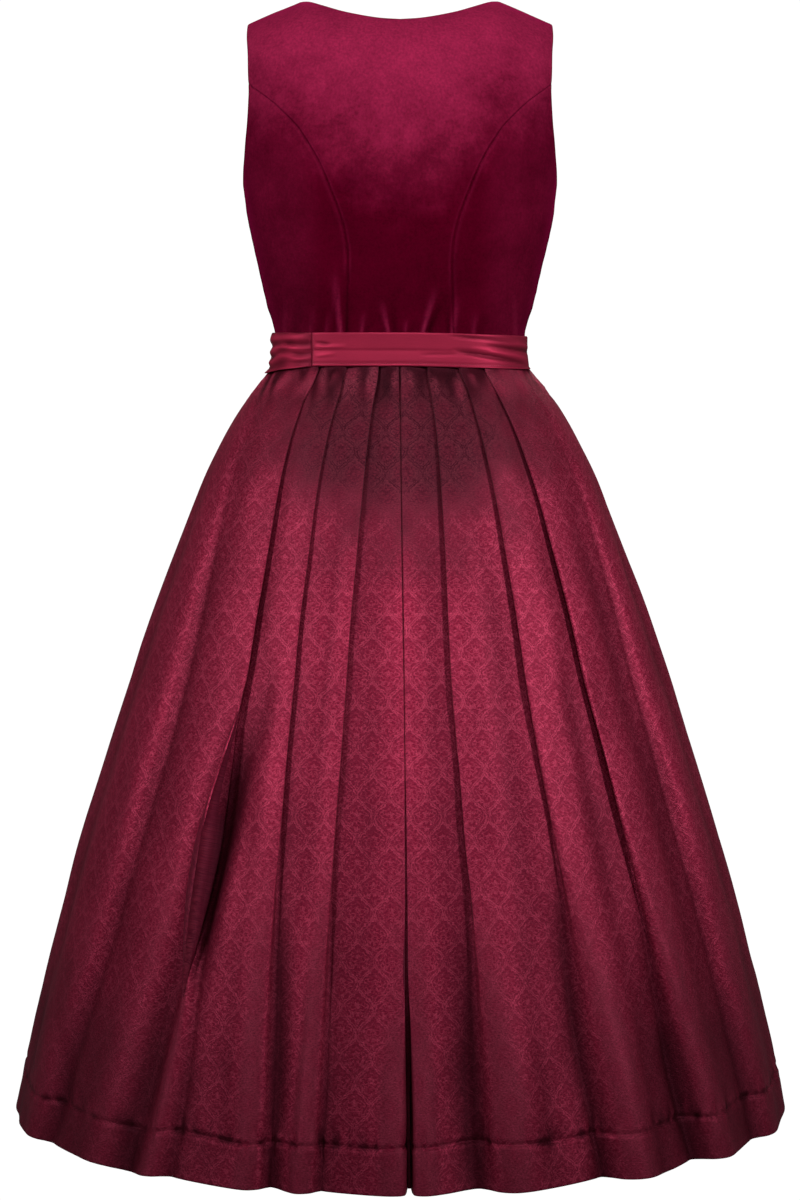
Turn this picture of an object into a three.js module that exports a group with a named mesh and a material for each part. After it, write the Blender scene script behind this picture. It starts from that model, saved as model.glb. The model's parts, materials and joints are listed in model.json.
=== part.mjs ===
// Dirndl dress, worn form with no wearer: velvet bodice, satin waist belt and a pleated
// jacquard skirt. Millimetres, +Z up, +X to the wearer's right, +Y the way the wearer faces.
// The origin is on the crest of the shoulders, midway between them.
import * as THREE from 'three';

// Driving dimensions
const SHOULDER_TIP_X = 150; // half the width across the shoulder tips
const NECK_CORNER_X = 97; // half the neck opening where it meets the shoulder seams
const SHOULDER_SLOPE = 0.42; // fall of the shoulder seam for each millimetre outwards
const UNDERARM_DOWN = 181; // underarm below the shoulder crest
const WAIST_DOWN = 340; // waist seam below the shoulder crest
const HEM_DOWN = 1098; // hem at the sides below the shoulder crest
const HEM_DIP = 5; // the hem hangs lower than that at the centre back and front
const BODICE_WALL = 1.6; // lined velvet
const SKIRT_WALL = 1.3; // jacquard with its turnings
const BELT_WALL = 1.4; // doubled satin
const SEAM_GAP = 0.3; // between pieces that are sewn to each other
const FORM_EXPONENT = 2.6; // squareness of the body's sections
const HEM_EXPONENT = 2.2; // squareness of the skirt's lower sections
const BACK_SHOULDER_ROUND = 50; // height of the rounding over the shoulder, back
const FRONT_SHOULDER_ROUND = 40; // and front
const ROUND_EXTRA = 24; // how much longer the way over that rounding is than its height
const FRONT_LAP = 9; // each front reaches this far past the centre front
const BUTTON_RADIUS = 6.5;
const BUTTON_HEIGHT = 4;
const BUTTON_COUNT = 6;
const TOP_BUTTON_DOWN = 181;
const BUTTON_SPACING = 24;
const BELT_TOP_DOWN = 323.5;
const BELT_BOTTOM_DOWN = 356;
const BELT_CLEARANCE = 1.2; // between the belt and what it lies on
const BELT_SIDE_SAG = 3.5; // the belt sits lower at the wearer's right side
const BELT_SEAM_TURN = -48; // back left, where the gathered tie is sewn to the smooth band
const BELT_END_TURN = -132; // front left, where the band's end lies over the tie
const TIE_UNDERLAP_TURN = 8; // the tie reaches this much further under the band
const BELT_LAP_TURN = 12; // the band rises over the tie in this much of its end
const LAYER_STEP = SKIRT_WALL + 0.45; // from one folded layer of the skirt to the next
const FOLD_GAP = 0.4; // half the slit between the two edges that meet at a centre pleat
const FOLD_END_DEPTH = 6; // underlay left where a pleat starts to open
const DEGREE = Math.PI / 180;

// Sections of the body's form: distance below the crest, half width, depths behind and before
const formRows = [
  { down: 0, side: 166, back: 72, front: 58 },
  { down: 30, side: 166, back: 80, front: 64 },
  { down: 56, side: 166, back: 88, front: 72 },
  { down: 95, side: 165, back: 97, front: 88 },
  { down: 130, side: 163, back: 100.5, front: 104 },
  { down: 160, side: 158.5, back: 102, front: 116 },
  { down: 181, side: 154.5, back: 102, front: 121 },
  { down: 208, side: 151.2, back: 101, front: 122 },
  { down: 232, side: 146.4, back: 99, front: 118 },
  { down: 257, side: 140.6, back: 97, front: 110 },
  { down: 296, side: 131.8, back: 92.5, front: 97 },
  { down: 325, side: 124, back: 90, front: 89 },
  { down: 345, side: 123.4, back: 89, front: 87.6 },
];

// Sections of the skirt over the crests of its folds
const skirtRows = [
  { down: 340, side: 123.4, back: 88.8, front: 87.4 },
  { down: 356, side: 125.5, back: 90, front: 89 },
  { down: 362, side: 129.5, back: 93, front: 92 },
  { down: 375, side: 140, back: 101, front: 99 },
  { down: 395, side: 156, back: 113, front: 109 },
  { down: 430, side: 177, back: 131, front: 125 },
  { down: 470, side: 196.3, back: 148, front: 141 },
  { down: 520, side: 216.5, back: 166, front: 159 },
  { down: 590, side: 243.5, back: 190, front: 183 },
  { down: 670, side: 270.7, back: 213, front: 208 },
  { down: 750, side: 297, back: 235, front: 231 },
  { down: 842, side: 325, back: 258, front: 256 },
  { down: 945, side: 351.7, back: 284, front: 283 },
  { down: 1040, side: 374.7, back: 309, front: 309 },
  { down: 1105, side: 389, back: 326, front: 326 },
];

// Heights of the skirt's rows, as distances below the crest
const skirtLevels = [340.3, 356, 366, 380, 400, 430, 475, 530, 600, 680, 765, 855, 945, 1025, 1098];

// Pleats of each quarter of the skirt, from the centre line outwards. Turns are degrees from
// the centre at the waist, half way and at the hem. fold is the underlay behind a pleat, 0 for
// a soft wave. opens is where the fold starts to open, proud its relief there, depth the
// relief at the hem, and spread widens or narrows the wave.
const backRightPleats = [
  { waist: 0, middle: 1, hem: 1.5, fold: 13, opens: 900, proud: 7, depth: 26, spread: 1 },
  { waist: 17, middle: 13.5, hem: 15, fold: 13, opens: 760, proud: 6, depth: 20, spread: 0.9 },
  { waist: 34, middle: 32, hem: 36, fold: 13, opens: 660, proud: 7, depth: 24, spread: 1 },
  { waist: 46.5, middle: 47, hem: 53, fold: 13, opens: 720, proud: 8, depth: 22, spread: 0.9 },
  { waist: 66, middle: 64.5, hem: 68, fold: 0, opens: 400, proud: 3, depth: 15, spread: 0.8 },
];
const backLeftPleats = [
  { waist: 0, middle: -1, hem: -1.5, fold: 13, opens: 900, proud: 7, depth: 26, spread: 1 },
  { waist: 13.5, middle: 14, hem: 14, fold: 11, opens: 680, proud: 6, depth: 13, spread: 0.55 },
  { waist: 31, middle: 27, hem: 22.5, fold: 13, opens: 640, proud: 6, depth: 16, spread: 0.6 },
  { waist: 45.5, middle: 39, hem: 39.5, fold: 13, opens: 800, proud: 8, depth: 34, spread: 1.2 },
  { waist: 66, middle: 58, hem: 66, fold: 0, opens: 400, proud: 3, depth: 18, spread: 0.9 },
];
const frontRightPleats = [
  { waist: 0, middle: 0, hem: 0, fold: 13, opens: 900, proud: 7, depth: 24, spread: 1 },
  { waist: 16, middle: 15, hem: 17, fold: 13, opens: 740, proud: 6, depth: 20, spread: 0.9 },
  { waist: 32, middle: 31, hem: 34, fold: 13, opens: 680, proud: 7, depth: 22, spread: 1 },
  { waist: 46.5, middle: 46, hem: 51, fold: 13, opens: 720, proud: 7, depth: 24, spread: 1 },
  { waist: 66, middle: 63, hem: 69, fold: 0, opens: 400, proud: 3, depth: 16, spread: 0.8 },
];
const frontLeftPleats = [
  { waist: 0, middle: 0, hem: 0, fold: 13, opens: 900, proud: 7, depth: 24, spread: 1 },
  { waist: 15, middle: 16, hem: 18, fold: 13, opens: 700, proud: 6, depth: 18, spread: 0.9 },
  { waist: 31, middle: 32, hem: 35, fold: 13, opens: 760, proud: 7, depth: 25, spread: 1 },
  { waist: 46.5, middle: 47, hem: 52, fold: 13, opens: 680, proud: 7, depth: 21, spread: 0.9 },
  { waist: 66, middle: 62, hem: 70, fold: 0, opens: 400, proud: 3, depth: 17, spread: 0.9 },
];

// One pleat's stations, from its centre side outwards. When folded, each lies at a share of
// the fold's depth and at a number of layers below the outer one, from the bottom layer where
// low is 1. When open, each lies at a distance along the hem and a share of the wave's depth.
const foldStations = [
  { foldShare: 0, low: 1, layers: 0, openAlong: -24, openDepth: 0.86 },
  { foldShare: 1, low: 1, layers: 0, openAlong: -12, openDepth: 1 },
  { foldShare: 1, low: 1, layers: -1, openAlong: -2, openDepth: 0.72 },
  { foldShare: 0, low: 0, layers: 1, openAlong: 7, openDepth: 0.3 },
  { foldShare: 0, low: 0, layers: 0, openAlong: 18, openDepth: 0.05 },
  { foldShare: 1, low: 0, layers: 0.1, openAlong: 30, openDepth: 0 },
];
const centreStations = [
  { foldShare: 1, low: 1, layers: 0, openAlong: 2.5, openDepth: 0.97 },
  { foldShare: 1, low: 1, layers: -1, openAlong: 4, openDepth: 0.7 },
  { foldShare: 0, low: 0, layers: 1, openAlong: 6, openDepth: 0.35 },
  { foldShare: 0, low: 0, layers: 0, openAlong: 10, openDepth: 0.08 },
  { foldShare: 1, low: 0, layers: 0.1, openAlong: 20, openDepth: 0 },
];

// Seams and edges of the bodice, as distances from the centre line and below the crest
const backNeckline = [
  { x: 0, down: 23 },
  { x: 20, down: 21.5 },
  { x: 39, down: 18 },
  { x: 58, down: 13 },
  { x: 78, down: 5.5 },
  { x: NECK_CORNER_X, down: 0 },
];
const frontNeckline = [
  { x: 0, down: 168 },
  { x: 24, down: 165.5 },
  { x: 48, down: 156 },
  { x: 68, down: 139 },
  { x: 81, down: 112 },
  { x: 89, down: 72 },
  { x: 94, down: 32 },
  { x: NECK_CORNER_X, down: 0 },
];
const backPrincessSeam = [
  { x: 52, down: WAIST_DOWN },
  { x: 51, down: 300 },
  { x: 50.5, down: 245 },
  { x: 57, down: 212 },
  { x: 66.5, down: 187 },
  { x: 78, down: 160 },
  { x: 95.5, down: 131 },
  { x: 124, down: 102 },
];
const frontPrincessSeam = [
  { x: 48, down: WAIST_DOWN },
  { x: 53, down: 300 },
  { x: 63, down: 250 },
  { x: 72, down: 208 },
  { x: 82, down: 172 },
  { x: 97, down: 141 },
  { x: 114, down: 120 },
];
// Armhole edges, as angles from the side seam and distances below the crest
const backArmhole = [
  { aside: 0, down: UNDERARM_DOWN },
  { aside: 8, down: 176 },
  { aside: 15, down: 160 },
  { aside: 20, down: 130 },
  { aside: 21.5, down: 95 },
  { aside: 21.2, down: 84 },
  { aside: 19.5, down: 56 },
  { aside: 17.5, down: 36 },
];
const frontArmhole = [
  { aside: 0, down: UNDERARM_DOWN },
  { aside: 10, down: 177 },
  { aside: 20, down: 164 },
  { aside: 29, down: 140 },
  { aside: 33.5, down: 112 },
  { aside: 33.5, down: 86 },
  { aside: 29, down: 56 },
  { aside: 20.5, down: 34 },
];
const BACK_JUNCTION = 5; // row of backArmhole where the princess seam ends
const FRONT_JUNCTION = 4; // row of frontArmhole where the front princess seam ends

// Folds of the gathered tie across its height: where each lies and how far it stands out
const tieFolds = [
  { share: 0, out: 0.6 },
  { share: 0.16, out: 2.4 },
  { share: 0.3, out: 0.5 },
  { share: 0.44, out: 2.8 },
  { share: 0.58, out: 0.6 },
  { share: 0.72, out: 2.4 },
  { share: 0.86, out: 0.7 },
  { share: 1, out: 1.6 },
];
// The tie's lower edge, which drops towards the side and narrows again under the band's end
const tieDepths = [
  { turn: 48, down: 356.4 },
  { turn: 62, down: 359 },
  { turn: 84, down: 363.5 },
  { turn: 104, down: 363 },
  { turn: 124, down: 358 },
  { turn: 142, down: 356 },
];

// Looks
const velvet = { color: 0x5c0a26, roughness: 0.8 };
const satin = { color: 0x8c2540, roughness: 0.45 };
const jacquard = { color: 0x7a1e35, roughness: 0.6 };
const part = new THREE.Group();

const mix = (from, to, share) => from + (to - from) * share;
// What a function gives at equal steps, from share 0 to share 1
const atSteps = (count, make) => [...Array(count + 1).keys()].map((i) => make(i / count));
const clampShare = (value) => Math.min(1, Math.max(0, value));
const easeShare = (value) => {
  const share = clampShare(value);
  return share * share * (3 - 2 * share);
};

// Value of a table's column at a key, on a smooth curve that does not overshoot
function read(table, key, at, column) {
  const last = table.length - 1;
  const rise = (i) => (table[i + 1][column] - table[i][column]) / (table[i + 1][key] - table[i][key]);
  const slope = (i) => {
    if (i === 0) return rise(0);
    if (i === last) return rise(last - 1);
    const product = rise(i - 1) * rise(i);
    return product <= 0 ? 0 : (2 * product) / (rise(i - 1) + rise(i));
  };
  if (at <= table[0][key]) return table[0][column];
  if (at >= table[last][key]) return table[last][column];
  let i = 0;
  while (table[i + 1][key] < at) i += 1;
  const width = table[i + 1][key] - table[i][key];
  const t = (at - table[i][key]) / width;
  const start = (1 + 2 * t) * (1 - t) ** 2 * table[i][column] + t * (1 - t) ** 2 * width * slope(i);
  const end = t * t * (3 - 2 * t) * table[i + 1][column] + t * t * (t - 1) * width * slope(i + 1);
  return start + end;
}

// Distance from the middle axis to a section's outline, in the direction of turn
function outlineRadius(turn, side, depth, exponent) {
  const across = Math.abs(Math.sin(turn * DEGREE)) / side;
  const along = Math.abs(Math.cos(turn * DEGREE)) / depth;
  return (across ** exponent + along ** exponent) ** (-1 / exponent);
}

const isFront = (turn) => Math.abs(turn) > 90;
const crestDown = (x) => SHOULDER_SLOPE * Math.max(0, Math.abs(x) - NECK_CORNER_X);
const shoulderRound = (turn) => (isFront(turn) ? FRONT_SHOULDER_ROUND : BACK_SHOULDER_ROUND);

function formRadius(turn, down) {
  const depth = read(formRows, 'down', down, isFront(turn) ? 'front' : 'back');
  return outlineRadius(turn, read(formRows, 'down', down, 'side'), depth, FORM_EXPONENT);
}

// Point of the body's form: turn in degrees from the centre back to the wearer's right, run in
// millimetres down over the shoulder from its crest
function formPoint(turn, run) {
  const round = shoulderRound(turn);
  const share = clampShare(run / (round + ROUND_EXTRA));
  const fall = share < 1 ? round * (1 - Math.cos((share * Math.PI) / 2)) : run - ROUND_EXTRA;
  let down = fall;
  for (let pass = 0; pass < 8; pass += 1) {
    down = crestDown(formRadius(turn, down) * Math.sin(turn * DEGREE)) + fall;
  }
  const radius = formRadius(turn, down);
  const reach = radius * Math.sin((share * Math.PI) / 2);
  return new THREE.Vector3(radius * Math.sin(turn * DEGREE), -reach * Math.cos(turn * DEGREE), -down);
}

function formNormal(turn, run) {
  const turnStep = 0.1;
  const runStep = 0.1;
  const above = formPoint(turn, Math.max(0, run - runStep));
  const downwards = formPoint(turn, run + runStep).sub(above);
  const sideways = formPoint(turn + turnStep, run).sub(formPoint(turn - turnStep, run));
  return downwards.cross(sideways).normalize();
}

// Turn and run of a point given by its distance from the centre line and below the crest
function onForm(x, down, front) {
  const round = front ? FRONT_SHOULDER_ROUND : BACK_SHOULDER_ROUND;
  const fall = Math.max(0, down - crestDown(x));
  const arc = (Math.acos(1 - fall / round) * 2) / Math.PI;
  const run = fall < round ? (round + ROUND_EXTRA) * arc : fall + ROUND_EXTRA;
  const side = read(formRows, 'down', down, 'side');
  const depth = read(formRows, 'down', down, front ? 'front' : 'back');
  const across = Math.min(1, Math.abs(x) / side);
  const behind = depth * (1 - across ** FORM_EXPONENT) ** (1 / FORM_EXPONENT);
  const turn = Math.atan2(x, behind) / DEGREE;
  return { turn: front ? 180 - turn : turn, run };
}

// The place at a turn and a distance below the crest
function atTurn(turn, down, front) {
  const x = formRadius(turn, down) * Math.sin(turn * DEGREE);
  return { turn, run: onForm(x, down, front).run };
}

const armholePoint = (row, front) => atTurn(front ? 90 + row.aside : 90 - row.aside, row.down, front);

// A smooth line through points of the turn and run plane, in a number of equal steps
function smoothLine(points, steps) {
  const flat = points.map((point) => new THREE.Vector3(point.turn, point.run, 0));
  const curve = new THREE.CatmullRomCurve3(flat);
  return curve.getSpacedPoints(steps).map((point) => ({ turn: point.x, run: point.y }));
}

const shifted = (line, turn) => line.map((point) => ({ turn: point.turn + turn, run: point.run }));

// A grid of points between four edge lines that meet at their ends
function fillBetween(bottom, top, near, far) {
  const columns = bottom.length - 1;
  const rows = near.length - 1;
  const blend = (row, column, name) => {
    const s = column / columns;
    const t = row / rows;
    const alongRows = mix(near[row][name], far[row][name], s);
    const alongColumns = mix(bottom[column][name], top[column][name], t);
    const cornersBelow = mix(bottom[0][name], bottom[columns][name], s);
    const cornersAbove = mix(top[0][name], top[columns][name], s);
    return alongRows + alongColumns - mix(cornersBelow, cornersAbove, t);
  };
  const cell = (row, column) => ({
    turn: blend(row, column, 'turn'),
    run: blend(row, column, 'run'),
  });
  return [...near.keys()].map((row) => [...bottom.keys()].map((column) => cell(row, column)));
}

// A closed wall from two grids of points, its outer and its inner face
function wallGeometry(outer, inner) {
  const rows = outer.length;
  const columns = outer[0].length;
  const points = [...outer.flat(), ...inner.flat()];
  const index = [];
  const outerAt = (row, column) => row * columns + column;
  const innerAt = (row, column) => rows * columns + row * columns + column;
  const quad = (a, b, c, d) => index.push(a, b, c, a, c, d);
  for (let row = 0; row < rows - 1; row += 1) {
    for (let column = 0; column < columns - 1; column += 1) {
      const next = column + 1;
      quad(outerAt(row, column), outerAt(row, next), outerAt(row + 1, next), outerAt(row + 1, column));
      quad(innerAt(row, next), innerAt(row, column), innerAt(row + 1, column), innerAt(row + 1, next));
    }
  }
  for (let column = 0; column < columns - 1; column += 1) {
    const next = column + 1;
    const last = rows - 1;
    quad(outerAt(0, next), outerAt(0, column), innerAt(0, column), innerAt(0, next));
    quad(outerAt(last, column), outerAt(last, next), innerAt(last, next), innerAt(last, column));
  }
  for (let row = 0; row < rows - 1; row += 1) {
    const next = row + 1;
    const last = columns - 1;
    quad(outerAt(next, 0), innerAt(next, 0), innerAt(row, 0), outerAt(row, 0));
    quad(outerAt(next, last), outerAt(row, last), innerAt(row, last), innerAt(next, last));
  }
  let volume = 0;
  for (let i = 0; i < index.length; i += 3) {
    const [a, b, c] = [points[index[i]], points[index[i + 1]], points[index[i + 2]]];
    volume += a.dot(new THREE.Vector3().crossVectors(b, c));
  }
  if (volume < 0) index.reverse();
  const geometry = new THREE.BufferGeometry();
  const numbers = points.flatMap((point) => [point.x, point.y, point.z]);
  geometry.setAttribute('position', new THREE.Float32BufferAttribute(numbers, 3));
  geometry.setIndex(index);
  return geometry;
}

function addMesh(name, geometry, look) {
  geometry.computeVertexNormals();
  const mesh = new THREE.Mesh(geometry, new THREE.MeshStandardMaterial({ ...look, metalness: 0 }));
  mesh.name = name;
  part.add(mesh);
  return mesh;
}

const mirrored = (grid) =>
  grid.map((row) => row.map((point) => new THREE.Vector3(-point.x, point.y, point.z)));

// A panel of the bodice on its grid of turns and runs, raised over what lies beneath it
function addPanel(name, grid, isLeft, raise = () => 0) {
  const place = (cell, out) => {
    const point = formPoint(cell.turn, cell.run);
    return point.addScaledVector(formNormal(cell.turn, cell.run), out + raise(point));
  };
  const outer = grid.map((row) => row.map((cell) => place(cell, 0)));
  const inner = grid.map((row) => row.map((cell) => place(cell, -BODICE_WALL)));
  const geometry = isLeft ? wallGeometry(mirrored(outer), mirrored(inner)) : wallGeometry(outer, inner);
  addMesh(name, geometry, velvet);
}

// Bodice: seam and edge lines of the right half, each sampled once for both of its pieces
const SEAM_STEPS = 11;
const ARMHOLE_STEPS = 5;
const SHOULDER_STEPS = 3;
const BACK_NECK_STEPS = 5;
const FRONT_EDGE_STEPS = 7; // rows up the lapped edge, the next ones follow the neckline
const FRONT_NECK_STEPS = SEAM_STEPS + ARMHOLE_STEPS - FRONT_EDGE_STEPS;
const FRONT_PLAIN_STEPS = 4; // columns between the lap and the princess seam
const LAP_RISE_END = 12; // distances from the centre line between which the lap rises
const LAP_RISE_START = 26;
const lapColumns = [LAP_RISE_END + 1, LAP_RISE_START];
const gapTurn = 0.07; // about half a seam gap round the body
const bodiceBottom = WAIST_DOWN - 2 * SEAM_GAP;

function bodiceLines(front) {
  const armholeRows = front ? frontArmhole : backArmhole;
  const junction = front ? FRONT_JUNCTION : BACK_JUNCTION;
  const armhole = armholeRows.map((row) => armholePoint(row, front));
  const tip = onForm(SHOULDER_TIP_X, crestDown(SHOULDER_TIP_X), front);
  const princessRows = front ? frontPrincessSeam : backPrincessSeam;
  const waist = onForm(princessRows[0].x, bodiceBottom, front);
  const princess = princessRows.slice(1).map((row) => onForm(row.x, row.down, front));
  const neckRows = front ? frontNeckline : backNeckline;
  const side = smoothLine([atTurn(90, bodiceBottom, front), atTurn(90, UNDERARM_DOWN, front)], SEAM_STEPS);
  return {
    waist,
    side,
    neck: neckRows.map((row) => onForm(row.x, row.down, front)),
    tip,
    princess: smoothLine([waist, ...princess, armhole[junction]], SEAM_STEPS),
    underarm: smoothLine(armhole.slice(0, junction + 1), ARMHOLE_STEPS),
    strapEdge: smoothLine([...armhole.slice(junction), tip], ARMHOLE_STEPS),
  };
}

function shoulderSeam(front, steps) {
  const from = onForm(NECK_CORNER_X, 0, front);
  const to = onForm(SHOULDER_TIP_X, crestDown(SHOULDER_TIP_X), front);
  return smoothLine([from, to], steps);
}

// Keeps a piece half a seam gap away from the shoulder seam's line
const belowCrest = (cell) => ({ turn: cell.turn, run: Math.max(cell.run, SEAM_GAP / 2) });

// The bottom edge of a panel at the waist, between two turns
function waistLine(from, to, steps, front) {
  return atSteps(steps, (share) => atTurn(mix(from, to, share), bodiceBottom, front));
}

// Turn and run of the outer edge of a centre piece: princess seam, then armhole to the shoulder
function outerEdge(lines, front) {
  const line = shifted([...lines.princess, ...lines.strapEdge.slice(1)], front ? gapTurn : -gapTurn);
  line[line.length - 1] = { turn: lines.tip.turn, run: SEAM_GAP / 2 };
  return line;
}

// The right half of the centre back, whose top edge is the neckline and the shoulder seam
function backCentreGrid(lines) {
  const neck = smoothLine(lines.neck, BACK_NECK_STEPS);
  const top = [...neck, ...shoulderSeam(false, SHOULDER_STEPS).slice(1)];
  const far = outerEdge(lines, false);
  const centreDown = (share) => mix(bodiceBottom, backNeckline[0].down, share);
  const near = atSteps(far.length - 1, (share) => onForm(0, centreDown(share), false));
  const bottom = waistLine(near[0].turn, far[0].turn, top.length - 1, false);
  return fillBetween(bottom, top.map(belowCrest), near, far);
}

// A front, whose inner edge is its lap and then the neckline, and whose top is the shoulder seam
function frontCentreGrid(lines) {
  const neckDown = read(frontNeckline, 'x', FRONT_LAP, 'down');
  const edgeDown = (share) => mix(bodiceBottom, neckDown, share);
  const lapEdge = atSteps(FRONT_EDGE_STEPS, (share) => onForm(-FRONT_LAP, edgeDown(share), true));
  const neck = smoothLine([onForm(-FRONT_LAP, neckDown, true), ...lines.neck], FRONT_NECK_STEPS);
  const near = [...lapEdge, ...neck.slice(1)].map(belowCrest);
  const far = outerEdge(lines, true);
  const steps = lapColumns.length + FRONT_PLAIN_STEPS;
  const inner = [-FRONT_LAP, ...lapColumns].map((x) => onForm(x, bodiceBottom, true));
  const plain = waistLine(inner[lapColumns.length].turn, far[0].turn, FRONT_PLAIN_STEPS, true);
  const bottom = [...inner, ...plain.slice(1)];
  const top = shoulderSeam(true, steps).map(belowCrest);
  return fillBetween(bottom, top, near, far);
}

function sideGrid(lines, front) {
  const sign = front ? 1 : -1;
  const near = shifted(lines.princess, -sign * gapTurn);
  const far = shifted(lines.side, sign * gapTurn);
  const top = [...lines.underarm].reverse();
  top[0] = near[near.length - 1];
  top[top.length - 1] = far[far.length - 1];
  const bottom = waistLine(near[0].turn, far[0].turn, ARMHOLE_STEPS, front);
  return fillBetween(bottom, top, near, far);
}

const backLines = bodiceLines(false);
const frontLines = bodiceLines(true);

// Centre back, one piece across both halves
const backHalf = backCentreGrid(backLines);
const acrossCentre = (cell) => ({ turn: -cell.turn, run: cell.run });
const otherHalf = backHalf.map((row) => row.slice(1).reverse().map(acrossCentre));
addPanel('bodice_back_centre', backHalf.map((row, i) => [...otherHalf[i], ...row]), false);
addPanel('bodice_back_side_right', sideGrid(backLines, false), false);
addPanel('bodice_back_side_left', sideGrid(backLines, false), true);
addPanel('bodice_front_side_right', sideGrid(frontLines, true), false);
addPanel('bodice_front_side_left', sideGrid(frontLines, true), true);

// Fronts: the wearer's right front laps over the left one and carries the buttons
const LAP_CLEARANCE = 0.8; // between the two fronts where they lap
const lapHeight = BODICE_WALL + LAP_CLEARANCE;
const lapRaise = (point) =>
  lapHeight * easeShare((LAP_RISE_START - point.x) / (LAP_RISE_START - LAP_RISE_END));
addPanel('bodice_front_right', frontCentreGrid(frontLines), false, lapRaise);
addPanel('bodice_front_left', frontCentreGrid(frontLines), true);

// Buttons
const buttonProfile = [
  [0, 0],
  [0.8, 0],
  [1, 0.35],
  [0.82, 0.75],
  [0.45, 0.95],
  [0, 1],
].map(([radius, height]) => new THREE.Vector2(radius * BUTTON_RADIUS, height * BUTTON_HEIGHT));
for (let i = 0; i < BUTTON_COUNT; i += 1) {
  const spot = onForm(0, TOP_BUTTON_DOWN + i * BUTTON_SPACING, true);
  const outwards = formNormal(spot.turn, spot.run);
  const button = addMesh(`button_${i + 1}`, new THREE.LatheGeometry(buttonProfile, 12), velvet);
  button.position.copy(formPoint(spot.turn, spot.run).addScaledVector(outwards, lapHeight + SEAM_GAP));
  button.quaternion.setFromUnitVectors(new THREE.Vector3(0, 1, 0), outwards);
}

// Skirt
const ROUNDED_BELOW_WAIST = 300; // from here down the sections have the hem's squareness
function skirtOutline(turn, down) {
  const exponent = mix(FORM_EXPONENT, HEM_EXPONENT, clampShare((down - WAIST_DOWN) / ROUNDED_BELOW_WAIST));
  const depth = read(skirtRows, 'down', down, isFront(turn) ? 'front' : 'back');
  const radius = outlineRadius(turn, read(skirtRows, 'down', down, 'side'), depth, exponent);
  return new THREE.Vector2(radius * Math.sin(turn * DEGREE), -radius * Math.cos(turn * DEGREE));
}

function skirtTangent(turn, down) {
  const step = 0.2;
  return skirtOutline(turn + step, down).sub(skirtOutline(turn - step, down)).divideScalar(2 * step);
}

// How far along the skirt's length a level lies, from the waist to the hem
const lengthShare = (down) => (down - WAIST_DOWN) / (HEM_DOWN - WAIST_DOWN);
const RELIEF_SETTLES = 0.35; // share of the length where the waist's flat folds reach their relief
const FLANK_SHARE = 0.38; // share of the relief that is left half way to the pleat before
const WAIST_WAVE_SHARE = 0.32; // width of the waves at the waist, as a share of that at the hem
const SOFT_WAVE = 0.8; // relief of a soft wave at the waist
const OPEN_PAST_HEM = 60; // the pleats would be wholly open this far below the hem
const MITRE_LIMIT = 0.45; // keeps the wall from growing at a sharp fold

function pleatTurn(pleat, down) {
  const share = lengthShare(down);
  const rows = [
    { share: 0, turn: pleat.waist },
    { share: 0.4, turn: pleat.middle },
    { share: 1, turn: pleat.hem },
  ];
  return read(rows, 'share', share, 'turn');
}

// The stations of one pleat at a level: distance along the outline and depth below it
function pleatStations(pleat, down, stations) {
  const width = mix(WAIST_WAVE_SHARE, 1, lengthShare(down));
  const opening = easeShare((down - pleat.opens) / (HEM_DOWN + OPEN_PAST_HEM - pleat.opens));
  const open = pleat.fold === 0 ? 1 : opening;
  const flat = pleat.fold === 0 ? SOFT_WAVE : 2 * LAYER_STEP;
  const drop = mix(flat, pleat.proud, easeShare(lengthShare(down) / RELIEF_SETTLES));
  const depth = mix(drop, pleat.depth, opening);
  const shrink = mix(1, FOLD_END_DEPTH / Math.max(pleat.fold, 1), clampShare(down / pleat.opens));
  return stations.map((station) => ({
    along: mix(station.foldShare * pleat.fold * shrink, station.openAlong * width * pleat.spread, open),
    below: mix(station.low * drop + station.layers * LAYER_STEP, station.openDepth * depth, open),
  }));
}

// One level of a quarter: places on the outline from the centre line to the side seam
function quarterLevel(pleats, down, toTurn) {
  const level = [];
  pleats.forEach((pleat, i) => {
    const atCentre = i === 0;
    const base = pleatTurn(pleat, down);
    const degreeLength = skirtTangent(toTurn(base), down).length();
    const stations = pleatStations(pleat, down, atCentre ? centreStations : foldStations);
    const slit = atCentre ? FOLD_GAP + SKIRT_WALL / 2 : 0;
    const places = stations.map((station) => ({
      turn: base + (station.along + slit) / degreeLength,
      below: station.below,
    }));
    if (atCentre) {
      level.push({ turn: base, below: places[0].below });
    } else {
      const before = level[level.length - 1];
      level.push({
        turn: mix(before.turn, places[0].turn, 0.5),
        below: mix(before.below, places[0].below, FLANK_SHARE),
      });
    }
    level.push(...places);
  });
  const last = level[level.length - 1];
  const sideSeam = 90 - SEAM_GAP / 2 / skirtTangent(toTurn(90), down).length();
  for (const share of [0.34, 0.67, 1]) {
    level.push({ turn: mix(last.turn, sideSeam, share), below: mix(last.below, 0, share) });
  }
  return level;
}

// Offsets a level's line of points to both sides, with mitred corners
function offsetLine(line, half) {
  return line.map((point, i) => {
    const before = line[Math.max(0, i - 1)];
    const after = line[Math.min(line.length - 1, i + 1)];
    const arriving = (i === 0 ? after.clone().sub(point) : point.clone().sub(before)).normalize();
    const leaving = i === line.length - 1 ? arriving : after.clone().sub(point).normalize();
    const normals = [arriving, leaving].map((way) => new THREE.Vector2(way.y, -way.x));
    const corner = normals[0].clone().add(normals[1]).normalize();
    return point.clone().addScaledVector(corner, half / Math.max(MITRE_LIMIT, corner.dot(normals[0])));
  });
}

// How far a point of a level hangs below it, most at the centre back and front
function hemDip(point, down) {
  const facing = Math.abs(point.y) / point.length();
  return HEM_DIP * lengthShare(down) ** 3 * facing ** 2;
}

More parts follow.
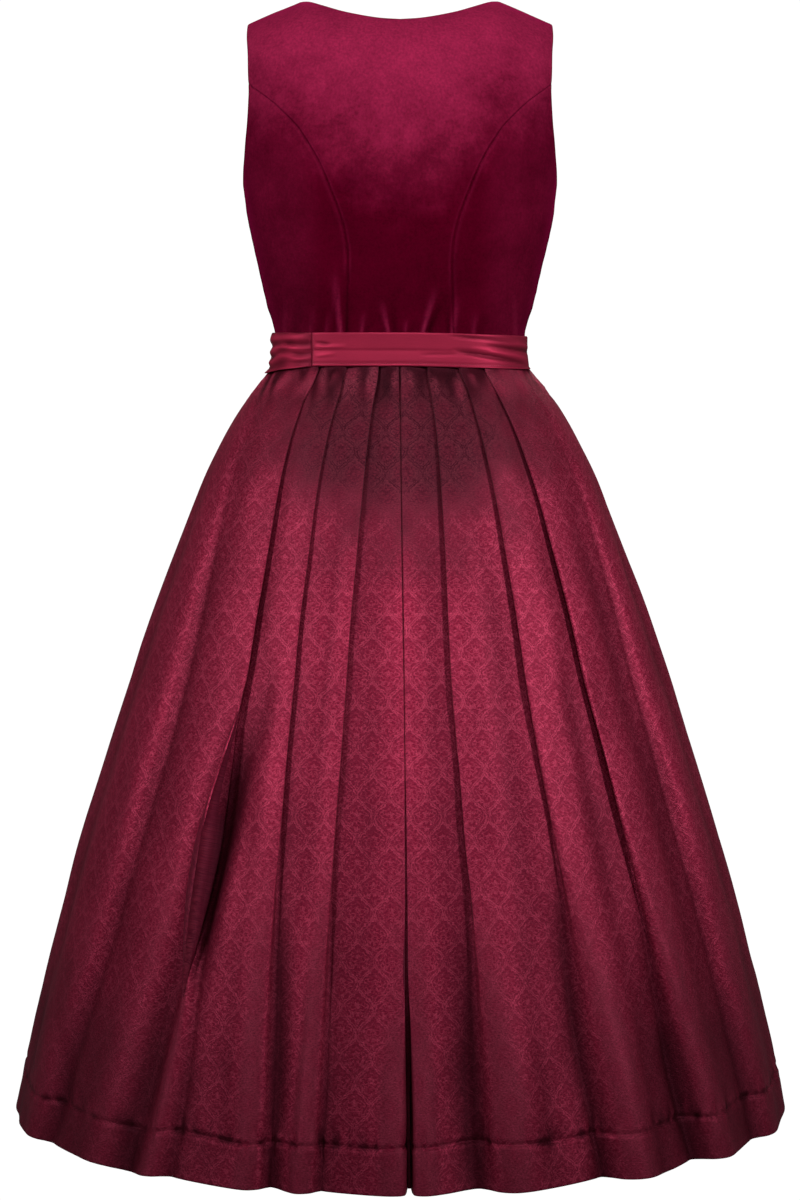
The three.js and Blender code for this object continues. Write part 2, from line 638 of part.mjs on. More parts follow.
function addSkirtQuarter(name, pleats, front, isLeft) {
  const toTurn = (turn) => (front ? 180 - turn : turn);
  const outer = [];
  const inner = [];
  for (const down of skirtLevels) {
    const line = quarterLevel(pleats, down, toTurn).map((place) => {
      const turn = toTurn(place.turn);
      const along = skirtTangent(turn, down).normalize();
      const outwards = new THREE.Vector2(along.y, -along.x);
      return skirtOutline(turn, down).addScaledVector(outwards, -place.below - SKIRT_WALL / 2);
    });
    line[0].x += SEAM_GAP / 2;
    const raised = (point, i) => {
      const x = isLeft ? -point.x : point.x;
      return new THREE.Vector3(x, point.y, -down - hemDip(line[i], down));
    };
    const half = front ? -SKIRT_WALL / 2 : SKIRT_WALL / 2;
    outer.push(offsetLine(line, half).map(raised));
    inner.push(offsetLine(line, -half).map(raised));
  }
  addMesh(name, wallGeometry(outer, inner), jacquard);
}
addSkirtQuarter('skirt_back_right', backRightPleats, false, false);
addSkirtQuarter('skirt_back_left', backLeftPleats, false, true);
addSkirtQuarter('skirt_front_right', frontRightPleats, true, false);
addSkirtQuarter('skirt_front_left', frontLeftPleats, true, true);

// Belt: the outline that it lies on is the bodice's above the waist seam and the skirt's below
function beltPoint(turn, down, out) {
  const rows = down < WAIST_DOWN ? formRows : skirtRows;
  const depth = read(rows, 'down', down, isFront(turn) ? 'front' : 'back');
  const radius = outlineRadius(turn, read(rows, 'down', down, 'side'), depth, FORM_EXPONENT) + out;
  return new THREE.Vector3(radius * Math.sin(turn * DEGREE), -radius * Math.cos(turn * DEGREE), -down);
}

function beltGeometry(turns, shares, spot) {
  const outer = shares.map((share) => turns.map((turn) => spot(turn, share, BELT_WALL)));
  const inner = shares.map((share) => turns.map((turn) => spot(turn, share, 0)));
  return wallGeometry(outer, inner);
}

const BAND_STEPS = 56;
const beltSeamGap = 0.1; // turn, about half a seam gap at the belt
const bandFrom = BELT_SEAM_TURN + beltSeamGap;
const bandTo = BELT_END_TURN + 360;
const bandTurns = atSteps(BAND_STEPS, (share) => mix(bandFrom, bandTo, share));
const TIE_CLEARANCE = 3.6; // the tie's folds and a gap lie under the band's end
const lapOver = BELT_WALL + TIE_CLEARANCE;
const FRONT_RISE_TURN = 24; // the band rises over the lapped fronts this far from the centre
const FRONT_RISE_FADE = 10;
const bandLapEnd = bandTo - TIE_UNDERLAP_TURN;
const bandSpot = (turn, share, out) => {
  const wrapped = turn > 180 ? turn - 360 : turn;
  const sag = BELT_SIDE_SAG * Math.max(0, Math.sin(wrapped * DEGREE)) ** 2;
  const down = mix(BELT_TOP_DOWN, BELT_BOTTOM_DOWN, share) + sag;
  const lap = lapOver * easeShare((turn - bandLapEnd + BELT_LAP_TURN) / BELT_LAP_TURN);
  const nearFronts = easeShare((FRONT_RISE_TURN - Math.abs(turn - 180)) / FRONT_RISE_FADE);
  const overFronts = (lapHeight + SEAM_GAP) * nearFronts;
  return beltPoint(wrapped, down, BELT_CLEARANCE + lap + overFronts + out);
};
addMesh('belt_band', beltGeometry(bandTurns, [0, 0.25, 0.5, 0.75, 1], bandSpot), satin);

const TIE_STEPS = 20;
const TIE_SEWN_SHARE = 0.15; // relief left in the tie's folds where they are sewn to the band
const TIE_SEWN_FADE = 12; // turn over which the folds grow from that seam
const TIE_PRESSED_SHARE = 0.5; // relief left where the band's end presses on them
const TIE_PRESSED_FROM = 122;
const TIE_PRESSED_FADE = 10;
const tieFrom = beltSeamGap - BELT_SEAM_TURN;
const tieTo = TIE_UNDERLAP_TURN - BELT_END_TURN;
const tieTurns = atSteps(TIE_STEPS, (share) => mix(tieFrom, tieTo, share));
const tieSpot = (turn, share, out) => {
  const down = mix(BELT_TOP_DOWN, read(tieDepths, 'turn', turn, 'down'), share);
  const gathered = mix(TIE_SEWN_SHARE, 1, easeShare((turn - tieFrom) / TIE_SEWN_FADE));
  const pressed = mix(1, TIE_PRESSED_SHARE, easeShare((turn - TIE_PRESSED_FROM) / TIE_PRESSED_FADE));
  const fold = read(tieFolds, 'share', share, 'out') * gathered * pressed;
  return beltPoint(turn, down, BELT_CLEARANCE + fold + out);
};
const tieShares = tieFolds.map((row) => row.share);
const tieGeometry = beltGeometry(tieTurns, tieShares, (turn, share, out) => {
  const point = tieSpot(turn, share, out);
  return new THREE.Vector3(-point.x, point.y, point.z);
});
addMesh('belt_tie', tieGeometry, satin);

export default part;
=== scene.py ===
# %% [markdown]
# # A folk dress, seen from behind
# This lesson dresses a plain CAD model of a dirndl in velvet, satin and jacquard. The dress
# keeps the hollow shape that it has when it is worn. The CAD model is the frame: every piece
# made here lies in the same place, and replaces the plain solid that stood for it.
# The frame has to be loaded first, because it names the pieces and fixes their places.

# %% Load the frame
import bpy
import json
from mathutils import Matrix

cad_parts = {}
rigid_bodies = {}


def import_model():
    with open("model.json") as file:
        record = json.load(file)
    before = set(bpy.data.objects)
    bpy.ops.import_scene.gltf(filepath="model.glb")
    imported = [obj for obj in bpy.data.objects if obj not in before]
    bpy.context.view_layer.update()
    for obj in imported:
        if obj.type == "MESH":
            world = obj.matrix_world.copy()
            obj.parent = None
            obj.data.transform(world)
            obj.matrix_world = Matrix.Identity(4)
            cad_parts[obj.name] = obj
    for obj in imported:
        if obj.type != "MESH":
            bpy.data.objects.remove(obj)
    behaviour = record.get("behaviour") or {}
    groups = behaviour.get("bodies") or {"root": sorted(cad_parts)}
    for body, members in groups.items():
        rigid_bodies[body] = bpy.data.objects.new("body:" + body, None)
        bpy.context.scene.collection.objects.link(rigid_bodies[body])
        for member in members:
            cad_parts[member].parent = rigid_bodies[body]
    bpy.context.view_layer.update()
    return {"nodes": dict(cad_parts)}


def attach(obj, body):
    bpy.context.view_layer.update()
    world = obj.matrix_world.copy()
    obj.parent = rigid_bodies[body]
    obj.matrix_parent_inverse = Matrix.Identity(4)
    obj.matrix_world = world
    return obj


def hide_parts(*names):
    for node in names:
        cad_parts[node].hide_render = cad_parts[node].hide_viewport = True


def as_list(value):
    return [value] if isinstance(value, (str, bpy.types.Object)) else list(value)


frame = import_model()
print("pieces in the frame:", len(frame["nodes"]))

# %% [markdown]
# ## Numbers and tables
# A garment's shape is a handful of measures: how wide and how deep it is at some heights.
# They could be kept as lists of points, but a short table with named columns is easier to
# read and to change. Between its rows, a smooth curve that never overshoots gives the rest.
# All lengths are millimetres, with +Z up, +X to the wearer's right and +Y to the front.
# "down" is a distance below the shoulders' crest, and "turn" an angle from the centre back.

# %% Tables and smooth curves
import json
import bpy
import numpy as np
from mathutils import Vector

MM = 0.001


def table(columns, *rows):
    return dict(zip(columns.split(), np.array(rows, dtype=float).T))


def mix(start, end, share):
    return start + (end - start) * share


def ease(value):
    share = np.clip(value, 0, 1)
    return share * share * (3 - 2 * share)


def bell(value):
    """1 at 0, and falling to nothing on both sides"""
    return np.exp(-value ** 2)


def read(rows, column, at):
    """A column's value at places in the table's first column"""
    keys = next(iter(rows.values()))
    values = rows[column]
    rises = np.diff(values) / np.diff(keys)
    sums = rises[:-1] + rises[1:]
    even = 2 * rises[:-1] * rises[1:] / np.where(sums == 0, 1, sums)
    inner = np.where(rises[:-1] * rises[1:] > 0, even, 0)
    slopes = np.concatenate([rises[:1], inner, rises[-1:]])
    at = np.clip(at, keys[0], keys[-1])
    i = np.clip(np.searchsorted(keys, at, side="right") - 1, 0, len(keys) - 2)
    width = keys[i + 1] - keys[i]
    t = (at - keys[i]) / width
    start = (1 + 2 * t) * (1 - t) ** 2 * values[i] + t * (1 - t) ** 2 * width * slopes[i]
    end = t * t * (3 - 2 * t) * values[i + 1] + t * t * (t - 1) * width * slopes[i + 1]
    return start + end


def smooth_through(stations, steps):
    """Points on a smooth line through stations, with a number of steps from each to the next"""
    first = 2 * stations[0] - stations[1]
    last = 2 * stations[-1] - stations[-2]
    p = np.concatenate([[first], stations, [last]])
    gap = np.sqrt(np.linalg.norm(np.diff(p, axis=0), axis=-1, keepdims=True)) + 1e-6
    line = []
    for i in range(1, len(p) - 2):
        before, here, after = gap[i - 1], gap[i], gap[i + 1]
        rise = (p[i + 1] - p[i]) / here
        leave = (p[i] - p[i - 1]) / before - (p[i + 1] - p[i - 1]) / (before + here) + rise
        arrive = rise - (p[i + 2] - p[i]) / (here + after) + (p[i + 2] - p[i + 1]) / after
        for t in np.arange(steps) / steps:
            start = (1 + 2 * t) * (1 - t) ** 2 * p[i] + t * (1 - t) ** 2 * leave * here
            end = t * t * (3 - 2 * t) * p[i + 1] + t * t * (t - 1) * arrive * here
            line.append(start + end)
    line.append(p[-2])
    return np.array(line)


print("eased half:", float(ease(0.5)))

# %% [markdown]
# ## Uneven cloth
# Real cloth is never quite even, so most reliefs below are broken up by a soft unevenness.
# Blender's noise could be called point by point. A small grid of seeded random values, read
# with eased steps between them, does it for a whole mesh at once, and gives the same result
# in every run.

# %% Seeded unevenness


def uneven(x, y, seed):
    """Smooth values from -1 to 1 over a plane whose bumps are about one unit wide"""
    x, y = np.broadcast_arrays(np.asarray(x, float), np.asarray(y, float))
    grid = np.random.default_rng(seed).uniform(-1, 1, (128, 128))
    column = np.floor(x).astype(int)
    row = np.floor(y).astype(int)
    across = ease(x - column)
    up = ease(y - row)
    near = mix(grid[row % 128, column % 128], grid[row % 128, (column + 1) % 128], across)
    far = mix(grid[(row + 1) % 128, column % 128], grid[(row + 1) % 128, (column + 1) % 128], across)
    return mix(near, far, up)


print("unevenness at one place:", round(float(uneven(0.5, 0.5, 1)), 3))

# %% [markdown]
# ## The body's form
# The bodice fits closely, so its shape is the wearer's general form: an egg-shaped section at
# each height, wider than it is deep. A superellipse gives such a section from a half width and
# two depths. Over the shoulders the sections close, which a quarter turn of a circle gives.
# A place on the form is a turn and a run, the distance down over the shoulder.

# %% Sections of the form
FORM = table(
    "down side back front",
    (0, 166, 72, 58),
    (30, 166, 80, 64),
    (56, 166, 88, 72),
    (95, 165, 97, 88),
    (130, 163, 100.5, 104),
    (160, 158.5, 102, 116),
    (181, 154.5, 102, 121),
    (208, 151.2, 101, 122),
    (232, 146.4, 99, 118),
    (257, 140.6, 97, 110),
    (296, 131.8, 92.5, 97),
    (325, 124, 90, 89),
    (345, 123.4, 89, 87.6),
)
FORM_SQUARENESS = 2.6
SHOULDER_TIP = 150
NECK_CORNER = 97
SHOULDER_SLOPE = 0.42
UNDERARM = 181
WAIST = 340
SHOULDER_ROUND = {False: 50, True: 40}
ROUND_EXTRA = 24
SEAM_GAP = 0.3


def section_radius(turn, side, depth, squareness):
    across = np.abs(np.sin(np.radians(turn))) / side
    along = np.abs(np.cos(np.radians(turn))) / depth
    return (across ** squareness + along ** squareness) ** (-1 / squareness)


def form_radius(turn, down):
    depth = np.where(np.abs(turn) > 90, read(FORM, "front", down), read(FORM, "back", down))
    return section_radius(turn, read(FORM, "side", down), depth, FORM_SQUARENESS)


def crest_down(x):
    return SHOULDER_SLOPE * np.maximum(0, np.abs(x) - NECK_CORNER)


def form_point(turn, run):
    """Points of the form at turns and runs"""
    height = np.where(np.abs(turn) > 90, SHOULDER_ROUND[True], SHOULDER_ROUND[False])
    share = np.clip(run / (height + ROUND_EXTRA), 0, 1)
    fall = np.where(share < 1, height * (1 - np.cos(share * np.pi / 2)), run - ROUND_EXTRA)
    sine = np.sin(np.radians(turn))
    down = fall
    for _ in range(8):
        down = crest_down(form_radius(turn, down) * sine) + fall
    radius = form_radius(turn, down)
    reach = radius * np.sin(share * np.pi / 2)
    return np.stack([radius * sine, -reach * np.cos(np.radians(turn)), -down], axis=-1)


def form_normal(turn, run):
    above = form_point(turn, np.maximum(0, run - 0.1))
    downwards = form_point(turn, run + 0.1) - above
    sideways = form_point(turn + 0.1, run) - form_point(turn - 0.1, run)
    normal = np.cross(downwards, sideways)
    return normal / np.linalg.norm(normal, axis=-1, keepdims=True)


def on_form(x, down, front):
    """Turn and run of places given by their distance from the centre and below the crest"""
    x, down = np.broadcast_arrays(np.asarray(x, float), np.asarray(down, float))
    height = SHOULDER_ROUND[front]
    fall = np.maximum(0, down - crest_down(x))
    arc = np.arccos(1 - np.minimum(fall, height) / height) * 2 / np.pi
    run = np.where(fall < height, (height + ROUND_EXTRA) * arc, fall + ROUND_EXTRA)
    across = np.minimum(1, np.abs(x) / read(FORM, "side", down))
    depth = read(FORM, "front" if front else "back", down)
    behind = depth * (1 - across ** FORM_SQUARENESS) ** (1 / FORM_SQUARENESS)
    turn = np.degrees(np.arctan2(x, behind))
    return np.stack([180 - turn if front else turn, run], axis=-1)


def at_turn(turn, down, front):
    x = form_radius(turn, down) * np.sin(np.radians(turn))
    run = on_form(x, down, front)[..., 1]
    return np.stack([turn + 0 * run, run], axis=-1)


print("bust half width:", float(form_radius(90.0, 208.0)), "mm")

# %% [markdown]
# ## Cutting lines of the bodice
# A maker cuts the bodice along a neckline, armholes and princess seams, the curved seams that
# give it its shape in place of darts. Each line is a few places on the form. It becomes a
# function from 0 to 1 along its length, so that two neighbouring pieces read the same line
# and meet along it whatever their own grids are.

# %% Seam and edge lines
BACK_NECKLINE = table("x down", (0, 23), (20, 21.5), (39, 18), (58, 13), (78, 5.5), (NECK_CORNER, 0))
FRONT_NECKLINE = table(
    "x down",
    (0, 168), (24, 165.5), (48, 156), (68, 139), (81, 112), (89, 72), (94, 32), (NECK_CORNER, 0),
)
BACK_PRINCESS = table(
    "x down",
    (52, WAIST), (51, 300), (50.5, 245), (57, 212), (66.5, 187), (78, 160), (95.5, 131), (124, 102),
)
FRONT_PRINCESS = table(
    "x down",
    (48, WAIST), (53, 300), (63, 250), (72, 208), (82, 172), (97, 141), (114, 120),
)
BACK_ARMHOLE = table(
    "aside down",
    (0, UNDERARM), (8, 176), (15, 160), (20, 130), (21.5, 95), (21.2, 84), (19.5, 56), (17.5, 36),
)
FRONT_ARMHOLE = table(
    "aside down",
    (0, UNDERARM), (10, 177), (20, 164), (29, 140), (33.5, 112), (33.5, 86), (29, 56), (20.5, 34),
)
JUNCTION = {False: 5, True: 4}
SEAM_SHARE = 11 / 16
BODICE_BOTTOM = WAIST - 2 * SEAM_GAP
SEAM_OVERLAP_TURN = 0.05
FRONT_LAP = 9


def line_through(places):
    """A smooth line through places, as a function of the share of its length"""
    dense = smooth_through(np.asarray(places, float), 24)
    length = np.concatenate([[0], np.cumsum(np.linalg.norm(np.diff(dense, axis=0), axis=1))])

    def at(share):
        along = np.asarray(share, float) * length[-1]
        return np.stack([np.interp(along, length, dense[:, i]) for i in range(2)], axis=-1)

    return at


def joined(first, second, break_share):
    """A line that follows the first up to a share of the way, and then the second"""

    def at(share):
        share = np.asarray(share, float)
        early = first(np.clip(share / break_share, 0, 1))
        late = second(np.clip((share - break_share) / (1 - break_share), 0, 1))
        return np.where((share < break_share)[..., None], early, late)

    return at


def bodice_lines(front):
    armhole_rows = FRONT_ARMHOLE if front else BACK_ARMHOLE
    turns = 90 + armhole_rows["aside"] if front else 90 - armhole_rows["aside"]
    armhole = at_turn(turns, armhole_rows["down"], front)
    princess_rows = FRONT_PRINCESS if front else BACK_PRINCESS
    waist = on_form(princess_rows["x"][0], BODICE_BOTTOM, front)
    princess = on_form(princess_rows["x"][1:], princess_rows["down"][1:], front)
    neck_rows = FRONT_NECKLINE if front else BACK_NECKLINE
    tip = on_form(SHOULDER_TIP, crest_down(SHOULDER_TIP), front)
    corner = on_form(NECK_CORNER, 0, front)
    side = [at_turn(90.0, BODICE_BOTTOM, front), at_turn(90.0, UNDERARM, front)]
    start = JUNCTION[front]
    return {
        "princess": line_through([waist, *princess, armhole[start]]),
        "strap": line_through([*armhole[start:], tip]),
        "underarm": line_through(armhole[start::-1]),
        "side": line_through(side),
        "neck": on_form(neck_rows["x"], neck_rows["down"], front),
        "shoulder": line_through([corner, tip]),
    }


LINES = {front: bodice_lines(front) for front in (False, True)}
print("lines of each half:", list(LINES[False]))

# %% [markdown]
# ## Grids for the pieces
# Each piece of cloth is a patch between four edge lines. Blending opposite edges, and taking
# away what the corners count twice, fills it: a Coons patch. Rows and columns lie closer
# together at the edges, because a sewn or turned edge rolls inwards over a few millimetres.

# %% Patches between edge lines


def fill(bottom, top, near, far, across, up):
    """Turns and runs of a patch, in rows from the bottom to the top"""
    s = across[None, :, None]
    t = up[:, None, None]
    rows = mix(near(up)[:, None], far(up)[:, None], s)
    columns = mix(bottom(across)[None], top(across)[None], t)
    corners = mix(mix(bottom(0), bottom(1), s), mix(top(0), top(1), s), t)
    return rows + columns - corners


def shares(length, step):
    """Shares of a length in even steps, with closer ones at both of its ends"""
    edge = np.array([0, 0.4, 0.9, 1.6, 2.6, 4]) / length
    start = 6 / length
    middle = np.linspace(start, 1 - start, max(2, int((length - 12) / step)))
    return np.concatenate([edge, middle, 1 - edge[::-1]])


def edge_distances(points):
    """Distances of a grid's points from its first and last column and first and last row"""
    found = []
    for axis in (1, 0):
        step = np.linalg.norm(np.diff(points, axis=axis), axis=-1)
        start = np.zeros_like(np.take(step, [0], axis=axis))
        along = np.cumsum(np.concatenate([start, step], axis=axis), axis=axis)
        found += [along, np.take(along, [-1], axis=axis) - along]
    return dict(zip(("near", "far", "bottom", "top"), found))


def rolled(distances, edges):
    """How far a surface sinks towards its edges, each given as a depth and a width"""
    sink = 0
    for name, (depth, width) in edges.items():
        sink = sink - depth * (1 - np.clip(distances[name] / width, 0, 1)) ** 2
    return sink


print("shares across 100 mm:", len(shares(100, 3)))

# %% [markdown]
# ## From a grid to a mesh
# Cloth has two faces and a thickness, so each piece gets an outer and an inner grid and a rim
# that joins them. A Solidify modifier could add the thickness, but two grids let the edge
# roll and the inside have its own lining. The piece's own UV map keeps the cloth's flat
# coordinates in metres, which the weave and the woven pattern follow.

# %% Shells with two faces


def grid_faces(rows, columns, start, flip):
    row, column = np.meshgrid(np.arange(rows - 1), np.arange(columns - 1), indexing="ij")
    a = (start + row * columns + column).ravel()
    faces = np.stack([a, a + 1, a + columns + 1, a + columns], axis=1)
    return faces[:, ::-1] if flip else faces


def rim_faces(rows, columns, flip):
    order = np.arange(rows * columns).reshape(rows, columns)
    ring = np.concatenate([order[0, :-1], order[:-1, -1], order[-1, :0:-1], order[:0:-1, 0]])
    after = np.roll(ring, -1)
    inner = rows * columns
    faces = np.stack([after, ring, ring + inner, after + inner], axis=1)
    return faces[:, ::-1] if flip else faces


def shell(name, outer, inner, cloth, materials, flip=False, crests=0):
    """A closed piece of cloth from two grids of points and a grid of flat coordinates"""
    rows, columns = outer.shape[:2]
    count = rows * columns
    points = np.concatenate([outer.reshape(-1, 3), inner.reshape(-1, 3)]) * MM
    outside = grid_faces(rows, columns, 0, flip)
    inside = grid_faces(rows, columns, count, not flip)
    rim = rim_faces(rows, columns, flip)
    faces = np.concatenate([outside, inside, rim])
    mesh = bpy.data.meshes.new(name)
    mesh.from_pydata(points.tolist(), [], faces.tolist())
    flat = cloth.reshape(-1, 2)
    corners = faces % count
    layer = mesh.uv_layers.new(name="cloth")
    layer.data.foreach_set("uv", (flat[corners] * MM).ravel())
    # painted light and shade: ridges near 1 get painted highlights and hollows near -1 painted shade in the
    # materials
    level = np.tile(np.clip(crests + 0 * outer[..., 0], -1, 1).ravel(), 2)
    mesh.attributes.new("crests", "FLOAT", "POINT").data.foreach_set("value", level)
    material_index = np.zeros(len(faces), dtype=np.int32)
    material_index[len(outside):len(outside) + len(inside)] = 1
    mesh.polygons.foreach_set("material_index", material_index)
    mesh.update()
    mesh.set_sharp_from_angle(angle=np.radians(60))
    for material in materials:
        mesh.materials.append(material)
    piece = add_object(name, mesh)
    return piece


def add_object(name, data):
    made = bpy.data.objects.new(name, data)
    bpy.context.scene.collection.objects.link(made)
    return made


def surface_normals(points):
    across = np.gradient(points, axis=1)
    up = np.gradient(points, axis=0)
    normal = np.cross(across, up)
    return normal / (np.linalg.norm(normal, axis=-1, keepdims=True) + 1e-9)


print("helpers for shells are ready")

# %% [markdown]
# ## Writing materials as sums
# A node tree is a calculation drawn as boxes. Written as Python sums, it is shorter and
# easier to read: each value below knows its own socket, and adding or multiplying two values
# adds the Math node for it. Any other node comes from one method, which takes the node's
# settings first and then its inputs.

# %% A small language for shader maths


class Value:
    """A number that a node gives, which Python's operators work on"""

    def __init__(self, look, socket):
        self.look = look
        self.socket = socket

    def __add__(self, other):
        return self.look.maths("ADD", self, other)

    def __sub__(self, other):
        return self.look.maths("SUBTRACT", self, other)

    def __rsub__(self, other):
        return self.look.maths("SUBTRACT", other, self)

    def __mul__(self, other):
        return self.look.maths("MULTIPLY", self, other)

    def __truediv__(self, other):
        return self.look.maths("DIVIDE", self, other)

    def __abs__(self):
        return self.look.maths("ABSOLUTE", self)

    def sibling(self, output):
        """Another output of the same node"""
        return Value(self.look, self.socket.node.outputs[output])

    __radd__ = __add__
    __rmul__ = __mul__


class Look:
    """A material and the nodes that make it"""

    def __init__(self, name):
        self.material = bpy.data.materials.new(name)
        self.material.use_nodes = True
        self.nodes = self.material.node_tree.nodes
        self.links = self.material.node_tree.links
        self.shader = self.nodes["Principled BSDF"]

    def node(self, kind, settings=None, inputs=None, output=0):
        made = self.nodes.new("ShaderNode" + kind)
        for name, value in (settings or {}).items():
            if name == "stops":
                for element, (place, colour) in zip(made.color_ramp.elements, value):
                    element.position = place
                    element.color = (*colour, 1)
            else:
                setattr(made, name, value)
        for name, value in (inputs or {}).items():
            self.put(made.inputs[name], value)
        return Value(self, made.outputs[output])

    def put(self, socket, value):
        if isinstance(value, Value):
            self.links.new(value.socket, socket)
        elif isinstance(value, tuple) and len(value) == 3 and socket.type == "RGBA":
            socket.default_value = (*value, 1)
        else:
            socket.default_value = value

    def maths(self, operation, *values):
        return self.node("Math", {"operation": operation}, dict(enumerate(values)))

    def blend(self, share, start, end):
        inputs = {0: share, 6: start, 7: end}
        return self.node("Mix", {"data_type": "RGBA"}, inputs, output=2)

    def lighten(self, colour, amount):
        """A colour times a number"""
        return self.node("VectorMath", {"operation": "SCALE"}, {0: colour, 3: amount})

    def noise(self, place, scale, detail=2.0, rough=0.5):
        inputs = {"Vector": place, "Scale": scale, "Detail": detail, "Roughness": rough}
        return self.node("TexNoise", None, inputs)

    def larger(self, first, second):
        return self.maths("MAXIMUM", first, second)

    def place(self):
        """The place on the dress in metres"""
        return self.node("TexCoord", output=3)

    def cloth(self):
        """The flat coordinates of the cloth in metres"""
        return self.node("UVMap", {"uv_map": "cloth"})

    def crests(self):
        return self.node("Attribute", {"attribute_name": "crests"}, output=2)

    def over_crests(self, crests, low, high, top=1.0):
        """A factor for painted shade and highlight: low in the hollows and high at the given top"""
        return self.node("MapRange", None, {0: crests, 1: -1.0, 2: top, 3: low, 4: high})

    def bump(self, strength, distance, height):
        inputs = {"Strength": strength, "Distance": distance, "Height": height}
        return self.node("Bump", None, inputs)

    def finish(self, **sockets):
        for name, value in sockets.items():
            self.put(self.shader.inputs[name.replace("_", " ")], value)
        return self.material


def soft_step(look, value, start, end):
    """A value that rises from 0 to 1 between a start and an end"""
    inputs = {0: value, 1: start, 2: end, 3: 0.0, 4: 1.0}
    return look.node("MapRange", {"interpolation_type": "SMOOTHSTEP"}, inputs)


print("materials can be written")

# %% [markdown]
# ## Velvet
# Velvet is a short dense pile. It looks dark straight on and lights up where the pile turns
# to the light, in soft cloudy patches. Sheen gives the pile's glow. The patches come from
# two noises, one for the way the pile was brushed and one for its fine grain. Painted light
# makes the velvet lighter on the shoulders, darker towards the waist and darker at the
# sides, with a mottled painted sheen along the sides. Painted highlights lie on the pull
# creases and beside the seams, and painted shade in the creases' hollows, along the seams
# and at the turned edges.

# %% Velvet material


def velvet_look(name):
    look = Look(name)
    place = look.place()
    axes = look.node("SeparateXYZ", None, {0: place})
    height = axes.sibling(2)
    cloud = look.noise(place, 26.0, 9.0, 0.75)
    grain = look.noise(place, 420.0, 2.0, 0.6)
    crests = look.crests()
    aside = soft_step(look, abs(axes), 0.02, 0.11)
    # painted light: lighter towards the shoulders and darker towards the waist and at the sides, mottled by
    # the cloud
    pressed_and_top_light = height * 6.2 + 1.42 - aside * 0.30 + (cloud - 0.5) * 0.9
    light = soft_step(look, pressed_and_top_light, 0.0, 1.0)
    # painted highlights on the pull creases and beside the seams, mottled by the cloud
    light = look.larger(light, crests * (cloud * 1.2 + 0.2))
    # a mottled painted sheen along the sides
    light = look.larger(light, soft_step(look, aside, 0.6, 1.1) * (cloud * 0.4))
    colour = look.blend(light, (0.048, 0.0001, 0.0058), (0.165, 0.008, 0.033))
    # painted shade in the creases' hollows, along the seams and at the turned edges
    hollow = look.over_crests(crests, 0.45, 1.0, top=0.0)
    colour = look.lighten(colour, (grain * 0.9 + cloud * 0.9 + 0.1) * hollow)
    bump = look.bump(0.25, 0.0006, grain)
    return look.finish(
        Base_Color=colour,
        Roughness=0.85,
        Normal=bump,
        Specular_IOR_Level=0.0,
        Sheen_Weight=0.2,
        Sheen_Roughness=0.4,
        Sheen_Tint=(0.60, 0.008, 0.13),
    )


velvet = velvet_look("velvet")
print("velvet has", len(velvet.node_tree.nodes), "nodes")

# %% [markdown]
# ## Satin and lining
# Satin's long floating threads make a smooth face with broad soft highlights. Fine noise
# drawn out along the belt stands for the threads. The lining is a plain dark twill that only
# shows inside the neck, the armholes and the hem.

# %% Satin and lining materials


def satin_look(name):
    look = Look(name)
    flat = look.cloth()
    drawn = look.node("Mapping", None, {"Vector": flat, "Scale": (60.0, 900.0, 1.0)})
    threads = look.noise(drawn, 1.0, 2.0, 0.5)
    grain = look.noise(flat, 900.0, 1.0, 0.5)
    crests = look.crests()
    # painted shade in the creases and folds of the belt and tie, and painted highlight on their ridges
    fold = look.over_crests(crests, 0.12, 1.2)
    colour = look.lighten((0.32, 0.018, 0.050), (threads * 0.2 + grain * 0.35 + 0.75) * fold)
    height = threads * 0.6 + grain * 0.4
    bump = look.bump(0.08, 0.0003, height)
    return look.finish(
        Base_Color=colour,
        Roughness=threads * 0.08 + 0.42,
        Metallic=0.35,
        Normal=bump,
        Specular_IOR_Level=0.3,
        Specular_Tint=(0.9, 0.15, 0.28),
    )


def lining_look(name):
    look = Look(name)
    flat = look.cloth()
    slanted = look.node("Mapping", None, {"Vector": flat, "Rotation": (0.0, 0.0, 0.78)})
    ribs = look.node("TexWave", {"wave_type": "BANDS"}, {"Vector": slanted, "Scale": 380.0})
    tone = ribs.sibling("Fac")
    colour = look.lighten((0.05, 0.003, 0.011), tone * 0.3 + 0.75)
    bump = look.bump(0.15, 0.0003, tone)
    return look.finish(Base_Color=colour, Roughness=0.7, Normal=bump, Specular_IOR_Level=0.3)


satin = satin_look("satin")
lining = lining_look("lining")
print("satin and lining are ready")

# %% [markdown]
# ## Jacquard
# The skirt's cloth has a pattern woven in, not printed: an old lattice of pointed ovals,
# called ogees, with a small rosette in each. The two faces of the weave reflect light
# differently, so the same lines look lighter in one fold and darker in the next. The threads
# and the ground therefore differ in how much they shine like metal, and not only in colour.
# The lattice is two mirrored waves that touch, each column half a repeat lower than the one
# before, and the rosette is a ring with petals and leaves.

# %% Jacquard material
REPEAT_WIDE = 31.0
REPEAT_HIGH = 44.0


